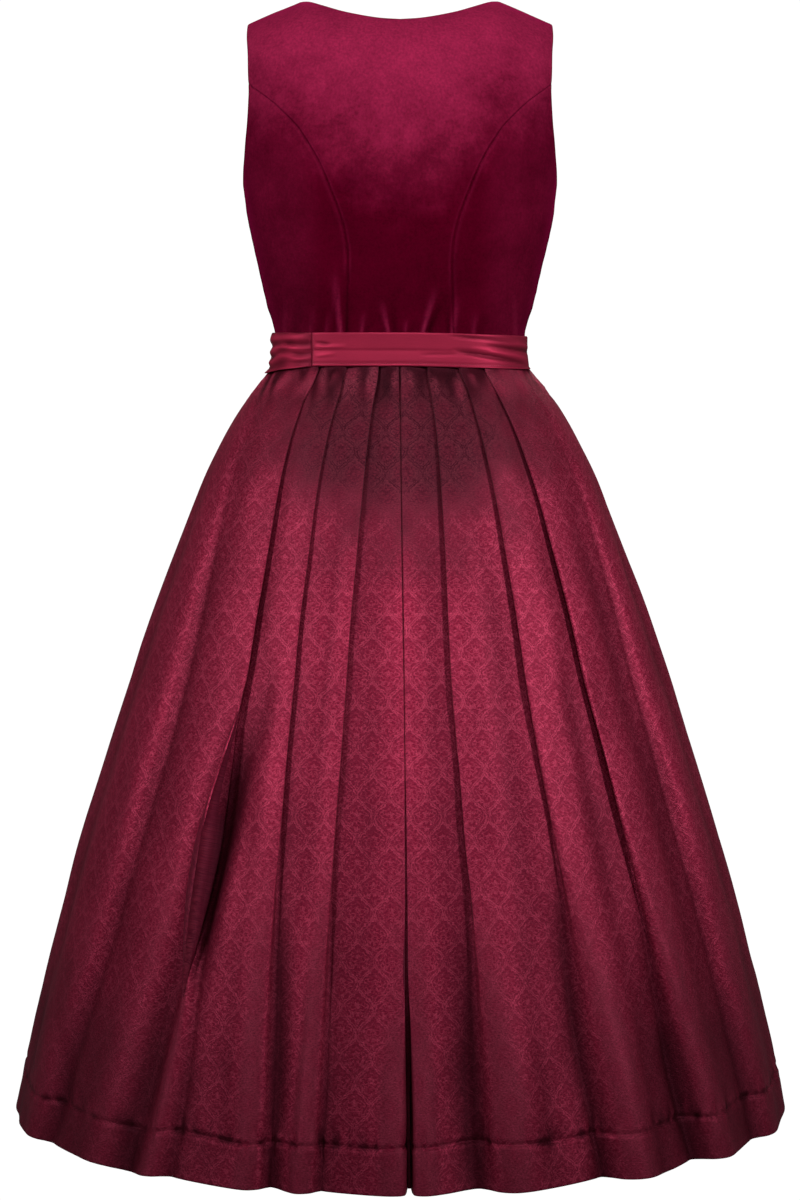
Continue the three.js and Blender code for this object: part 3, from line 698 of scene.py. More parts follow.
def figure(look, flat):
    """The woven figure: 1 on its threads and 0 on the ground"""
    metres = look.node("SeparateXYZ", None, {0: flat})
    wobble = look.noise(flat, 230.0, 3.0, 0.6) - 0.5
    u = metres / (REPEAT_WIDE * MM) + wobble * 0.17
    second = look.noise(look.node("Mapping", None, {"Vector": flat, "Location": (3.0, 7.0, 0.0)}), 190.0)
    v = metres.sibling(1) / (REPEAT_HIGH * MM) + (second - 0.5) * 0.09
    near = abs(look.maths("FRACT", u + 0.5) - 0.5)
    wave = look.maths("COSINE", v * (2 * np.pi)) * 0.25 + 0.25
    gap = near - wave
    slant = look.maths("SINE", v * (2 * np.pi)) * (0.5 * np.pi * REPEAT_WIDE / REPEAT_HIGH)
    steep = look.maths("SQRT", slant * slant + 1.0)
    distance = abs(gap) * REPEAT_WIDE / steep
    outline = 1.0 - soft_step(look, abs(distance - 0.9), 0.15, 0.75)
    even = look.maths("LESS_THAN", gap, 0.0)
    aside = (0.5 - near) + (near * 2.0 - 0.5) * even
    lower = look.maths("FRACT", v + 0.5) - 0.5
    higher = look.maths("FRACT", v) - 0.5
    over = higher + (lower - higher) * even
    x = aside * REPEAT_WIDE
    y = over * (REPEAT_HIGH * 0.74)
    radius = look.maths("SQRT", x * x + y * y)
    angle = look.maths("ARCTAN2", y, x)
    petals = look.maths("COSINE", angle * 8.0)
    ring = 1.0 - soft_step(look, abs(radius - 7.2 - petals * 0.7), 0.4, 1.0)
    bud = 1.0 - soft_step(look, abs(radius - 2.9 - petals * 0.8), 0.4, 1.0)
    # level lines of a noise that is mirrored in every oval make its leaves
    mirrored = look.node("CombineXYZ", None, {0: abs(x), 1: y})
    level = look.noise(mirrored, 0.11, 2.0, 0.5) * 8.0
    leaves = abs(look.maths("FRACT", level + wobble) - 0.5)
    veins = 1.0 - soft_step(look, leaves, 0.06, 0.22)
    inside = 1.0 - soft_step(look, radius, 4.0, 11.0)
    worn = soft_step(look, look.noise(flat, 150.0, 2.0, 0.6), 0.34, 0.56) * 0.6 + 0.4
    lines = look.larger(outline * 0.9, look.larger(ring * 0.3, bud * 0.5))
    return look.larger(lines, veins * 0.75) * worn, inside


def away_from(look, across, height, middle, size):
    """Distance from the middle of an oval, which is 1 on its outline"""
    wide = (across - middle[0]) / size[0]
    high = (height - middle[1]) / size[1]
    return look.maths("SQRT", wide * wide + high * high)


def jacquard_look(name, ground, threads, medallion, gloss):
    """The woven cloth, with gloss as the shares of metal-like reflection of its two weaves"""
    look = Look(name)
    flat = look.cloth()
    drawn, inside = figure(look, flat)
    woven = look.node("Mapping", None, {"Vector": flat, "Scale": (430.0, 800.0, 1.0)})
    grain = (look.noise(woven, 1.0, 3.0, 0.8) - 0.5) * 2.4 + 0.5
    cloud = look.noise(flat, 14.0, 3.0, 0.5)
    crests = look.crests()
    place = look.place()
    axes = look.node("SeparateXYZ", None, {0: place})
    height = axes.sibling(2)
    # painted shade and sheen: the colour turns darker and greyer in a soft oval at the skirt's top centre
    # and at its lower corners (painted shade), and on the crests of the lower skirt (a painted grey
    # sheen); the metal-like reflection is cut there as well
    top_centre_shade = away_from(look, axes, height, (0.006, -0.40), (0.148, 0.135))
    corners = away_from(look, abs(axes), height, (0.29, -1.05), (0.11, 0.12))
    patches = (cloud - 0.5) * 0.9 - crests * 0.12
    painted_shade_sheen_and_dull = 1.0 - soft_step(look, top_centre_shade + patches, 0.40, 1.25)
    painted_shade_sheen_and_dull = look.larger(painted_shade_sheen_and_dull, 0.45 - soft_step(look, corners + patches, 0.40, 1.3) * 0.45)
    painted_grey_sheen = soft_step(look, crests + (cloud - 0.5) * 0.6, 0.05, 0.7) * soft_step(look, height, -0.70, -0.95)
    painted_shade_sheen_and_dull = look.larger(painted_shade_sheen_and_dull, painted_grey_sheen * 0.6)
    colour = look.blend(inside * 0.6, ground, medallion)
    colour = look.blend(drawn, colour, threads)
    # the darker, greyer colours of the painted shade and sheen for the ground, the rosettes and the threads
    lathe_piece_and_shade_colour = look.blend(inside * 0.4, (0.095, 0.014, 0.024), (0.10, 0.006, 0.018))
    lathe_piece_and_shade_colour = look.blend(drawn, lathe_piece_and_shade_colour, (0.022, 0.0015, 0.005))
    colour = look.blend(painted_shade_sheen_and_dull, colour, lathe_piece_and_shade_colour)
    # painted shade in the folds' hollows and painted highlight on their crests
    fold = look.over_crests(crests, 0.2, 1.4)
    colour = look.lighten(colour, (grain * 1.1 + cloud * 0.5 + 0.2) * fold)
    height = drawn * 0.5 + grain * 0.5
    bump = look.bump(0.35, 0.0005, height)
    ground_gloss, thread_gloss = gloss
    return look.finish(
        Base_Color=colour,
        Roughness=(grain - 0.5) * 0.12 + 0.48,
        Metallic=(drawn * (thread_gloss - ground_gloss) + ground_gloss) * (1.0 - painted_shade_sheen_and_dull * 0.8),
        Normal=bump,
        Specular_IOR_Level=0.3,
        Specular_Tint=(0.9, 0.15, 0.28),
    )


jacquard = jacquard_look(
    "jacquard",
    ground=(0.175, 0.010, 0.030),
    threads=(0.36, 0.036, 0.078),
    medallion=(0.165, 0.006, 0.024),
    gloss=(0.25, 0.45),
)
jacquard_back = jacquard_look(
    "jacquard_back",
    ground=(0.10, 0.008, 0.02),
    threads=(0.07, 0.004, 0.014),
    medallion=(0.09, 0.005, 0.016),
    gloss=(0.2, 0.1),
)
print("jacquard has", len(jacquard.node_tree.nodes), "nodes")

# %% [markdown]
# ## The bodice
# Seven velvet pieces follow the cutting lines. Each edge rolls in: deeper at the princess and
# side seams, where the seam pulls the cloth down into a groove, and less at the turned edges
# of the neck and armholes. Short pull creases stand above the waist, where the fitted velvet
# is drawn into the belt. They could be simulated, but placed one by one they stay where they are.

# %% Creases of the velvet
WALL = 1.6
LAP_CLEARANCE = 0.8
LAP_HEIGHT = WALL + LAP_CLEARANCE
SEAM_EDGE = (0.85, 2.6)
TURNED_EDGE = (0.7, 1.8)
BACK_PULLS = table(
    "x reach width out lean",
    (-112, 60, 5.0, 0.9, 0.05),
    (-86, 34, 3.2, 0.8, 0.10),
    (-70, 26, 2.8, 0.7, 0.06),
    (-57, 62, 3.0, 1.9, -0.10),
    (-37, 22, 2.6, 0.9, 0.15),
    (-11, 34, 2.8, 1.6, -0.22),
    (5, 14, 2.4, 0.7, 0.1),
    (22, 46, 3.0, 1.9, 0.30),
    (46, 36, 2.2, -1.2, 0.02),
    (71, 22, 3.0, 0.8, 0.12),
    (112, 66, 5.0, 1.0, -0.05),
)
FRONT_PULLS = table(
    "x reach width out lean",
    (-95, 50, 4.5, 0.9, 0.08),
    (-62, 30, 3.0, 1.0, -0.05),
    (-34, 40, 3.2, 1.2, 0.12),
    (30, 34, 3.0, 1.3, -0.10),
    (60, 44, 3.4, 1.0, 0.06),
    (98, 50, 4.5, 0.9, -0.08),
)
BELT_TOP = 323.5


def velvet_relief(points, distances, seams, front):
    """How far the velvet stands out from the form, and its painted light and shade"""
    x, down = points[..., 0], -points[..., 2]
    height = BELT_TOP - down
    relief = 0.55 * uneven(x / 34 + 9, down / 46, 11 + front)
    relief = relief + 0.22 * uneven(x / 11, down / 15, 17 + front)
    crests = 0 * x
    pulls = FRONT_PULLS if front else BACK_PULLS
    for place, reach, width, out, lean in zip(*pulls.values()):
        middle = place + lean * np.maximum(height, 0)
        spread = width * (1 + np.clip(height / reach, 0, 1))
        fade = 1 - ease(height / reach)
        ridge = bell((x - middle) / spread)
        hollow = bell((x - middle - 1.9 * spread) / spread)
        relief = relief + out * fade * (ridge - 0.6 * hollow)
        # painted highlight on each crease's ridge and painted shade in the hollow beside it
        crests = crests + 0.55 * out * fade ** 0.7 * (ridge ** 2 - 0.8 * hollow)
    for seam in seams:
        close = np.exp(-distances[seam] / 7)
        # painted shade along the seam's groove and a painted highlight beside it, fainter lower down
        shown = mix(1, 0.35, ease((down - 130) / 90))
        crests = crests - shown * bell(distances[seam] / 0.8)
        crests = crests + 0.5 * shown * bell((distances[seam] - 2.8) / 1.2)
        relief = relief + 0.35 * close * np.sin(down / 2.6 + 3 * uneven(down / 30, x * 0, 23))
    return relief, crests


print("pull creases at the back:", len(BACK_PULLS["x"]))

# %% [markdown]
# The panels are built on the right half, and the left one is its mirror image with creases
# of its own. The right front laps over the left one, so it is raised by the wall and a gap.

# %% Bodice panels


def add_panel(name, cells, front, left=False, edges=None, seams=(), lap=False):
    """One velvet piece on its patch of turns and runs"""
    turn, run = cells[..., 0], cells[..., 1]
    base = form_point(turn, run)
    normal = form_normal(turn, run)
    if left:
        base = base * (-1, 1, 1)
        normal = normal * (-1, 1, 1)
    if lap:
        rise = ease((26 - base[..., 0]) / 14)
        base = base + normal * (LAP_HEIGHT * rise)[..., None]
    distances = edge_distances(base)
    relief, crests = velvet_relief(base, distances, seams, front)
    sink = rolled(distances, edges)
    # painted shade along the turned edges
    turned_edges = {edge: (0.9, 2) for edge in edges if edges[edge] == TURNED_EDGE}
    crests = crests + rolled(distances, turned_edges)
    free = np.clip(np.minimum.reduce(list(distances.values())) / 12, 0, 1)
    # creases fade only towards the neck and armholes, so the rolled edges stay clean
    lift = np.where(-base[..., 2] > 250, relief, relief * free)
    under = np.where(sink < 0, -sink * 0.5, 0)
    outer = base + normal * np.clip(lift + sink, -0.9, 3)[..., None]
    inner = base + normal * (np.clip(lift * 0.6, -0.9, 0) - WALL + under * 0.8)[..., None]
    across = distances["near"] if not left else -distances["near"]
    cloth = np.stack([across + base[..., 0] * 0, distances["bottom"]], axis=-1)
    return shell(name, outer, inner, cloth, (velvet, lining), left != front, crests)


def above_crest(line):
    def at(share):
        cell = line(share)
        return np.stack([cell[..., 0], np.maximum(cell[..., 1], SEAM_GAP / 2)], axis=-1)

    return at


def moved(line, turn):
    return lambda share: line(share) + np.array([turn, 0])


def at_waist(first, last, front):
    return lambda share: at_turn(mix(first, last, np.asarray(share, float)), BODICE_BOTTOM, front)


def outer_edge(front):
    sign = 1 if front else -1
    lines = LINES[front]
    line = joined(lines["princess"], lines["strap"], SEAM_SHARE)
    return above_crest(moved(line, -sign * SEAM_OVERLAP_TURN))


def side_cells(front):
    sign = 1 if front else -1
    lines = LINES[front]
    near = moved(lines["princess"], sign * SEAM_OVERLAP_TURN)
    far = moved(lines["side"], -sign * SEAM_OVERLAP_TURN)
    start, end = near(1), far(1)
    underarm = lines["underarm"]

    def top(share):
        share = np.asarray(share, float)
        drift = mix(start - underarm(0), end - underarm(1), share[..., None])
        return underarm(share) + drift

    bottom = at_waist(near(0)[0], far(0)[0], front)
    return fill(bottom, top, near, far, shares(78, 2.6), shares(210, 3.2))


def back_centre_cells():
    lines = LINES[False]
    top = above_crest(joined(line_through(lines["neck"]), lines["shoulder"], 5 / 8))
    far = outer_edge(False)

    def near(share):
        return on_form(0 * np.asarray(share, float), mix(BODICE_BOTTOM, 23, np.asarray(share, float)), False)

    bottom = at_waist(near(0)[0], far(0)[0], False)
    across = shares(300, 3)
    half = (across[across >= 0.5] - 0.5) * 2
    half = np.concatenate([[0], half[half > 0.004]])
    cells = fill(bottom, top, near, far, half, shares(340, 3.2))
    other = cells[:, :0:-1] * (-1, 1)
    return np.concatenate([other, cells], axis=1)


def front_cells():
    lines = LINES[True]
    neck_down = float(read(FRONT_NECKLINE, "down", FRONT_LAP))

    def lap_edge(share):
        return on_form(-FRONT_LAP, mix(BODICE_BOTTOM, neck_down, np.asarray(share, float)), True)

    neck = line_through([on_form(-FRONT_LAP, neck_down, True), *lines["neck"]])
    near = above_crest(joined(lap_edge, neck, 7 / 16))
    far = outer_edge(True)
    bend = on_form(26, BODICE_BOTTOM, True)[0]

    def bottom(share):
        share = np.asarray(share, float)
        places = np.interp(share, [0, 1 / 6, 2 / 6], [-FRONT_LAP, 13, 26])
        inner = on_form(places, BODICE_BOTTOM, True)
        plain = at_turn(mix(bend, far(0)[0], np.clip(share * 1.5 - 0.5, 0, 1)), BODICE_BOTTOM, True)
        return np.where((share < 1 / 3)[..., None], inner, plain)

    return fill(bottom, above_crest(lines["shoulder"]), near, far, shares(70, 2.2), shares(340, 3.2))


seam_sides = {"near": SEAM_EDGE, "far": SEAM_EDGE}
panels = [
    add_panel(
        "velvet_back_centre", back_centre_cells(), False,
        edges={**seam_sides, "top": TURNED_EDGE}, seams=("near", "far"),
    )
]
for left in (False, True):
    side = "left" if left else "right"
    edges = {**seam_sides, "top": TURNED_EDGE}
    panels.append(
        add_panel(f"velvet_back_side_{side}", side_cells(False), False, left, edges, ("near", "far"))
    )
    panels.append(
        add_panel(f"velvet_front_side_{side}", side_cells(True), True, left, edges, ("near", "far"))
    )
    edges = {"near": TURNED_EDGE, "far": SEAM_EDGE, "top": TURNED_EDGE}
    panels.append(
        add_panel(f"velvet_front_{side}", front_cells(), True, left, edges, ("far",), lap=not left)
    )
print("velvet pieces:", [piece.name for piece in panels])

# %% [markdown]
# ## The skirt's folds
# The skirt hangs from the waist in pleats that lie flat at the top and open towards the hem.
# A cloth simulation could drop it there, but it would not keep the folds where they belong.
# So each level of a quarter is a line through stations: where a pleat is folded, the line
# runs to and fro in three layers, and where it has opened, the same stations lie on a wave.

# %% Sections and pleats of the skirt
SKIRT = table(
    "down side back front",
    (340, 123.4, 88.8, 87.4),
    (356, 125.5, 90, 89),
    (362, 129.5, 93, 92),
    (375, 140, 101, 99),
    (395, 156, 113, 109),
    (430, 177, 131, 125),
    (470, 196.3, 148, 141),
    (520, 216.5, 166, 159),
    (590, 243.5, 190, 183),
    (670, 270.7, 213, 208),
    (750, 297, 235, 231),
    (842, 325, 258, 256),
    (945, 351.7, 284, 283),
    (1040, 374.7, 309, 309),
    (1105, 389, 326, 326),
)
HEM = 1098
HEM_DIP = 5
HEM_SQUARENESS = 2.2
SKIRT_WALL = 1.3
LAYER_STEP = SKIRT_WALL + 0.45
FOLD_GAP = 0.4
PLEAT = "waist middle hem fold opens proud depth spread"
PLEATS = {
    "back_right": table(
        PLEAT,
        (0, 1, 1.5, 13, 900, 7, 26, 1),
        (17, 13.5, 15, 13, 760, 6, 20, 0.9),
        (34, 32, 36, 13, 660, 7, 24, 1),
        (46.5, 47, 53, 13, 720, 8, 22, 0.9),
        (66, 64.5, 68, 0, 400, 3, 13, 0.9),
    ),
    "back_left": table(
        PLEAT,
        (0, -1, -1.5, 13, 900, 7, 26, 1),
        (13.5, 14, 14, 11, 680, 6, 13, 0.55),
        (31, 27, 22.5, 13, 640, 6, 16, 0.6),
        (45.5, 39, 39.5, 13, 800, 8, 13, 0.8),
        (66, 58, 66, 0, 400, 3, 12, 1.1),
    ),
    "front_right": table(
        PLEAT,
        (0, 0, 0, 13, 900, 7, 24, 1),
        (16, 15, 17, 13, 740, 6, 20, 0.9),
        (32, 31, 34, 13, 680, 7, 22, 1),
        (46.5, 46, 51, 13, 720, 7, 24, 1),
        (66, 63, 69, 0, 400, 3, 16, 0.8),
    ),
    "front_left": table(
        PLEAT,
        (0, 0, 0, 13, 900, 7, 24, 1),
        (15, 16, 18, 13, 700, 6, 18, 0.9),
        (31, 32, 35, 13, 760, 7, 25, 1),
        (46.5, 47, 52, 13, 680, 7, 21, 0.9),
        (66, 62, 70, 0, 400, 3, 17, 0.9),
    ),
}
STATION = "fold_share low layers along depth"
FOLD_STATIONS = table(
    STATION,
    (0, 1, 0, -24, 0.86),
    (1, 1, 0, -12, 1),
    (1, 1, -1, -2, 0.72),
    (0, 0, 1, 7, 0.3),
    (0, 0, 0, 18, 0.05),
    (1, 0, 0.1, 30, 0),
)
CENTRE_STATIONS = table(
    STATION,
    (1, 1, 0, 0.8, 0.97),
    (1, 1, -1, 1.3, 0.7),
    (0, 0, 1, 2.2, 0.35),
    (0, 0, 0, 5, 0.08),
    (1, 0, 0.1, 15, 0),
)
RELIEF_SETTLES = 0.35
FLANK_SHARE = 0.38
WAIST_WAVE_SHARE = 0.32
SOFT_WAVE = 0.8
OPEN_PAST_HEM = -70
FOLD_END_DEPTH = 6


def skirt_outline(turn, down):
    squareness = mix(FORM_SQUARENESS, HEM_SQUARENESS, np.clip((down - WAIST) / 300, 0, 1))
    depth = np.where(np.abs(turn) > 90, read(SKIRT, "front", down), read(SKIRT, "back", down))
    radius = section_radius(turn, read(SKIRT, "side", down), depth, squareness)
    return np.stack([radius * np.sin(np.radians(turn)), -radius * np.cos(np.radians(turn))], axis=-1)


def skirt_tangent(turn, down):
    """Millimetres along the outline for each degree of turn"""
    return (skirt_outline(turn + 0.2, down) - skirt_outline(turn - 0.2, down)) / 0.4


def across_degree(down):
    return np.linalg.norm(skirt_tangent(30.0 + 0 * down, down), axis=-1)


def length_share(down):
    return (down - WAIST) / (HEM - WAIST)


def pleat_turn(pleat, down):
    rows = table("share turn", (0, pleat["waist"]), (0.4, pleat["middle"]), (1, pleat["hem"]))
    return read(rows, "turn", length_share(down))


def pleat_stations(pleat, down, stations):
    """Distance along the outline and depth below it, for each station and level"""
    share = length_share(down)
    width = mix(WAIST_WAVE_SHARE, 1, share)
    opening = ease((down - pleat["opens"]) / (HEM + OPEN_PAST_HEM - pleat["opens"]))
    folded = pleat["fold"] > 0
    opened = opening if folded else np.ones_like(down)
    drop = mix(2 * LAYER_STEP if folded else SOFT_WAVE, pleat["proud"], ease(share / RELIEF_SETTLES))
    depth = mix(drop, pleat["depth"], opening)
    shrink = mix(1, FOLD_END_DEPTH / max(pleat["fold"], 1), np.clip(down / pleat["opens"], 0, 1))
    found = []
    for fold_share, low, layers, along, deep in zip(*stations.values()):
        place = mix(fold_share * pleat["fold"] * shrink, along * width * pleat["spread"], opened)
        below = mix(low * drop + layers * LAYER_STEP, deep * depth, opened)
        found.append((place, below))
    return found


print("pleats in each quarter:", len(PLEATS["back_left"]["waist"]))

# %% [markdown]
# Each station becomes a point at every level. A smooth line through them rounds the folds,
# and the places where one strip of cloth passes behind the next are remembered, because the
# woven pattern starts anew there.

# %% Lines of a quarter
STEPS_BETWEEN = 6
HEM_TURNING = 40
STITCHING = HEM - HEM_TURNING


def quarter_stations(pleats, down, front):
    """Turns and depths of a quarter's stations at all levels, and the strips' columns"""

    def facing(turn):
        return 180 - turn if front else turn

    turns, belows, edges, breaks = [], [], [0], [1]
    for i in range(len(pleats["waist"])):
        pleat = {name: values[i] for name, values in pleats.items()}
        base = pleat_turn(pleat, down)
        slope = np.linalg.norm(skirt_tangent(facing(base), down), axis=-1)
        stations = CENTRE_STATIONS if i == 0 else FOLD_STATIONS
        slit = FOLD_GAP + SKIRT_WALL / 2 if i == 0 else 0
        offsets = pleat_stations(pleat, down, stations)
        places = [(base + (along + slit) / slope, below) for along, below in offsets]
        if i == 0:
            turns.append(base)
            belows.append(places[0][1])
        else:
            turns.append(mix(turns[-1], places[0][0], 0.5))
            belows.append(mix(belows[-1], places[0][1], FLANK_SHARE))
        start = len(turns)
        turns += [place[0] for place in places]
        belows += [place[1] for place in places]
        if pleat["fold"] > 0:
            edges.append(start + (3 if i == 0 else 4))
            breaks.append(start + (1 if i == 0 else 2))
    last_turn, last_below = turns[-1], belows[-1]
    slope = np.linalg.norm(skirt_tangent(facing(90.0) + 0 * down, down), axis=-1)
    for share in (0.34, 0.67, 1):
        turns.append(mix(last_turn, 90 - SEAM_GAP / 2 / slope, share))
        belows.append(mix(last_below, 0, share))
    return facing(np.array(turns)), np.array(belows), edges, breaks[1:]


def skirt_levels():
    """Heights of the rows, closer at the turned-up hem's stitching and at the hem itself"""
    steps = [(340.3, 366, 3.2), (366, STITCHING - 6, 6), (STITCHING - 6, STITCHING + 6, 1.2)]
    steps += [(STITCHING + 6, HEM - 4, 4), (HEM - 4, HEM, 0.8)]
    rows = [np.arange(start, end - 0.3, step) for start, end, step in steps]
    return np.concatenate([*rows, [HEM]])


LEVELS = skirt_levels()
print("rows down the skirt:", len(LEVELS))

# %% [markdown]
# ## Soft relief of the skirt
# Between its pleats the cloth is alive: soft troughs run down from the waist, short puckers
# sit under the belt where the gathers are sewn, and the hem's stitching draws the cloth in.
# Each is a small function of the place along the hem and the height, added to the surface.

# %% Troughs, puckers and the hem
PUFFS = table(
    "turn down width length",
    (6, 369, 3, 6),
    (19, 373, 4, 8),
    (30, 377, 5, 9),
    (38, 368, 4, 6),
    (50, 374, 6, 9),
    (63, 372, 6, 8),
    (80, 376, 6, 10),
)
TROUGH = "turn hem_turn start width depth"
TROUGHS = {
    "back_right": table(
        TROUGH,
        (8, 8, 470, 12, 2.2),
        (25, 26, 430, 11, 2.6),
        (42, 45, 600, 12, 4.4),
        (57, 61, 430, 15, 4.2),
        (77, 79, 430, 17, 4.8),
    ),
    "back_left": table(
        TROUGH,
        (7, 8, 520, 11, 2.2),
        (20, 18, 430, 9, 2.6),
        (37, 31, 560, 12, 3.2),
        (30, 46.5, 640, 15, 16),
        (58, 57, 440, 15, 2.2),
        (76, 80, 420, 17, 4.6),
    ),
    "front_right": table(
        TROUGH,
        (8, 8, 500, 12, 2.2),
        (24, 25, 430, 11, 2.6),
        (40, 43, 560, 13, 3.0),
        (58, 60, 430, 15, 3.6),
        (78, 80, 430, 17, 4.0),
    ),
    "front_left": table(
        TROUGH,
        (7, 9, 480, 12, 2.2),
        (23, 27, 450, 11, 2.6),
        (39, 44, 600, 13, 3.0),
        (57, 61, 440, 15, 3.4),
        (77, 79, 430, 17, 4.2),
    ),
}


def stitch_line(across, seed):
    """Height of the hem's stitching, which wavers a little"""
    return STITCHING + 1.5 * uneven(across / 60, 0, seed + 3)


def skirt_relief(turn, across, down, quarter, seed):
    """How far the jacquard stands out from its folded form"""
    share = length_share(down)
    relief = 2.6 * share * uneven(across / 42, down / 130, seed)
    relief = relief + 0.5 * uneven(across / 17, down / 60, seed + 1)
    troughs = TROUGHS[quarter]
    for place, hem_place, start, width, depth in zip(*troughs.values()):
        middle = mix(place, hem_place, share)
        reach = (np.abs(turn) - middle) * across_degree(down)
        spread = width * mix(0.6, 1.5, share)
        fade = ease((down - start) / 160)
        relief = relief - depth * fade * bell(reach / spread)
    under_belt = ease((down - 352) / 10) * (1 - ease((down - 366) / 55))
    relief = relief + 1.5 * under_belt * uneven(across / 8.5, down / 48, seed + 2)
    from_line = down - stitch_line(across, seed)
    pucker = uneven(across / 9, down / 30, seed + 4) + 0.6 * uneven(across / 4.5, down / 20, seed + 5)
    uneven_pull = 0.45 + 0.55 * np.clip(uneven(across / 55, 0, seed + 6) * 1.6, 0, 1)
    relief = relief + 1.5 * uneven_pull * pucker * bell(from_line / 13)
    relief = relief - 1.1 * bell(from_line / 2.4)
    relief = relief + 0.5 * ease(from_line / 4)
    return relief


print("troughs in each quarter:", len(TROUGHS["back_left"]["turn"]))

# %% [markdown]
# ## The skirt's quarters
# The four quarters meet in the centre pleats and at the side seams. Each one is the smooth
# lines at all levels, moved by the relief along their normals, and given two faces. The hem
# hangs a little lower at the centre back and front.

# %% Skirt quarters
CLOTH_HALF = 0.5
CENTRE_OVERLAP = 0.6
CREST_REACH = 34
CREST_HEIGHT = (7.5, 7.0)


def add_quarter(quarter, seed):
    front = quarter.startswith("front")
    left = quarter.endswith("left")
    down = LEVELS
    turn, below, edges, breaks = quarter_stations(PLEATS[quarter], down, front)
    outline = skirt_outline(turn, down[None])
    tangent = skirt_tangent(turn, down[None])
    tangent = tangent / np.linalg.norm(tangent, axis=-1, keepdims=True)
    outwards = np.stack([tangent[..., 1], -tangent[..., 0]], axis=-1)
    middle = outline - outwards * (below + SKIRT_WALL / 2)[..., None]
    middle[0, :, 0] -= CENTRE_OVERLAP
    line = smooth_through(middle, STEPS_BETWEEN).transpose(1, 0, 2)
    facing = np.abs(line[..., 1]) / np.linalg.norm(line, axis=-1)
    hang = HEM_DIP * length_share(down[:, None]) ** 3 * facing ** 2
    points = np.concatenate([line, (-down[:, None] - hang)[..., None]], axis=-1)
    step = np.linalg.norm(np.diff(points, axis=1), axis=-1)
    across = np.concatenate([np.zeros((len(down), 1)), np.cumsum(step, axis=1)], axis=1)
    place = np.degrees(np.arctan2(points[..., 0], np.abs(points[..., 1])))
    normal = surface_normals(points)
    if np.sum(normal[..., :2] * outwards_at(points), axis=-1).mean() < 0:
        normal = -normal
    puffs = gathers(place + 2.5 * (seed % 20 > 9), down[:, None])
    relief = skirt_relief(place, across, down[:, None], quarter, seed) + 1.2 * puffs
    # painted light and shade: highlights on the folds' crests and on the puffs, shade in the hollows, and
    # the painted shadows and pulls under the belt and along the stitching
    crests = fold_crests(points + normal * relief[..., None], across)
    crests = crests + small_crests(across, down[:, None], seed) + 1.5 * puffs
    ends = np.minimum(across, across[:, -1:] - across)
    relief = relief * ease(ends / 10)
    points = points + normal * relief[..., None]
    normal_after = surface_normals(points)
    sign = np.sign(np.sum(normal * normal_after, axis=-1).mean())
    normal = normal_after * sign
    roll = np.clip((HEM - down) / 1.6, 0, 1) ** 0.5
    half = CLOTH_HALF * mix(0.25, 1, roll)[:, None, None]
    outer = points + normal * half
    inner = points - normal * half
    if left:
        outer = outer * (-1, 1, 1)
        inner = inner * (-1, 1, 1)
    slant = np.linalg.norm(np.diff(points, axis=0), axis=-1).mean(axis=1)
    length = np.concatenate([[0], np.cumsum(slant)])
    cloth = np.stack([across, -length[:, None] + 0 * across], axis=-1)
    columns = np.array(edges) * STEPS_BETWEEN
    starts = np.array(breaks) * STEPS_BETWEEN
    offsets = np.random.default_rng(seed).uniform(0, 40, len(columns))
    # each strip measures its own threads from the edge of its fold
    shift = offsets[None] - across[:, columns]
    strip = np.searchsorted(starts, np.arange(across.shape[1]), side="right")
    faces = jacquard, jacquard_back
    piece = shell(f"jacquard_{quarter}", outer, inner, cloth, faces, left != front, crests)
    set_strips(piece, cloth, shift, strip, len(down), across.shape[1])
    return piece


def gathers(turn, down):
    """Short puffs where the pleats leave the belt"""
    puffs = 0
    for place, height, width, length in zip(*PUFFS.values()):
        aside = (np.abs(turn) - place) * across_degree(down) / width
        puffs = puffs + np.exp(-aside ** 2 - ((down - height) / length) ** 2)
    return puffs


def small_crests(across, down, seed):
    """Painted shadow under the belt, painted highlights and shade of short pulls below it, and painted shade
    and pulls along the hem's stitching
    """
    pulls = 1.8 * uneven(across / 9, down / 60, seed + 7) - 0.25
    top = pulls * (1 - ease((down - 362) / 42)) - 0.8 * (1 - ease((down - 357) / 8))
    stitching = stitch_line(across, seed)
    close = bell((down - stitching + 1) / 3.5)
    pulled = bell((down - stitching + 4) / 9) * uneven(across / 4.5, down / 30, seed + 9)
    return top + close * (0.9 * uneven(across / 6, down / 16, seed + 8) - 0.35) + 0.7 * pulled


def fold_crests(points, across):
    """How far each point stands before or behind the folds around it, from -1 to 1"""
    radius = np.linalg.norm(points[..., :2], axis=-1)
    found = []
    for row in range(len(radius)):
        length = across[row, -1]
        even = np.linspace(0, length, 240)
        near = np.interp(even, across[row], radius[row])
        reach = int(CREST_REACH / length * 240)
        padded = np.pad(near, reach, mode="reflect")
        around = np.convolve(padded, np.ones(2 * reach + 1) / (2 * reach + 1), mode="valid")
        found.append(radius[row] - np.interp(across[row], even, around))
    height = mix(CREST_HEIGHT[0], CREST_HEIGHT[1], length_share(LEVELS))
    return np.array(found) / height[:, None]


def outwards_at(points):
    flat = points[..., :2]
    return flat / np.linalg.norm(flat, axis=-1, keepdims=True)


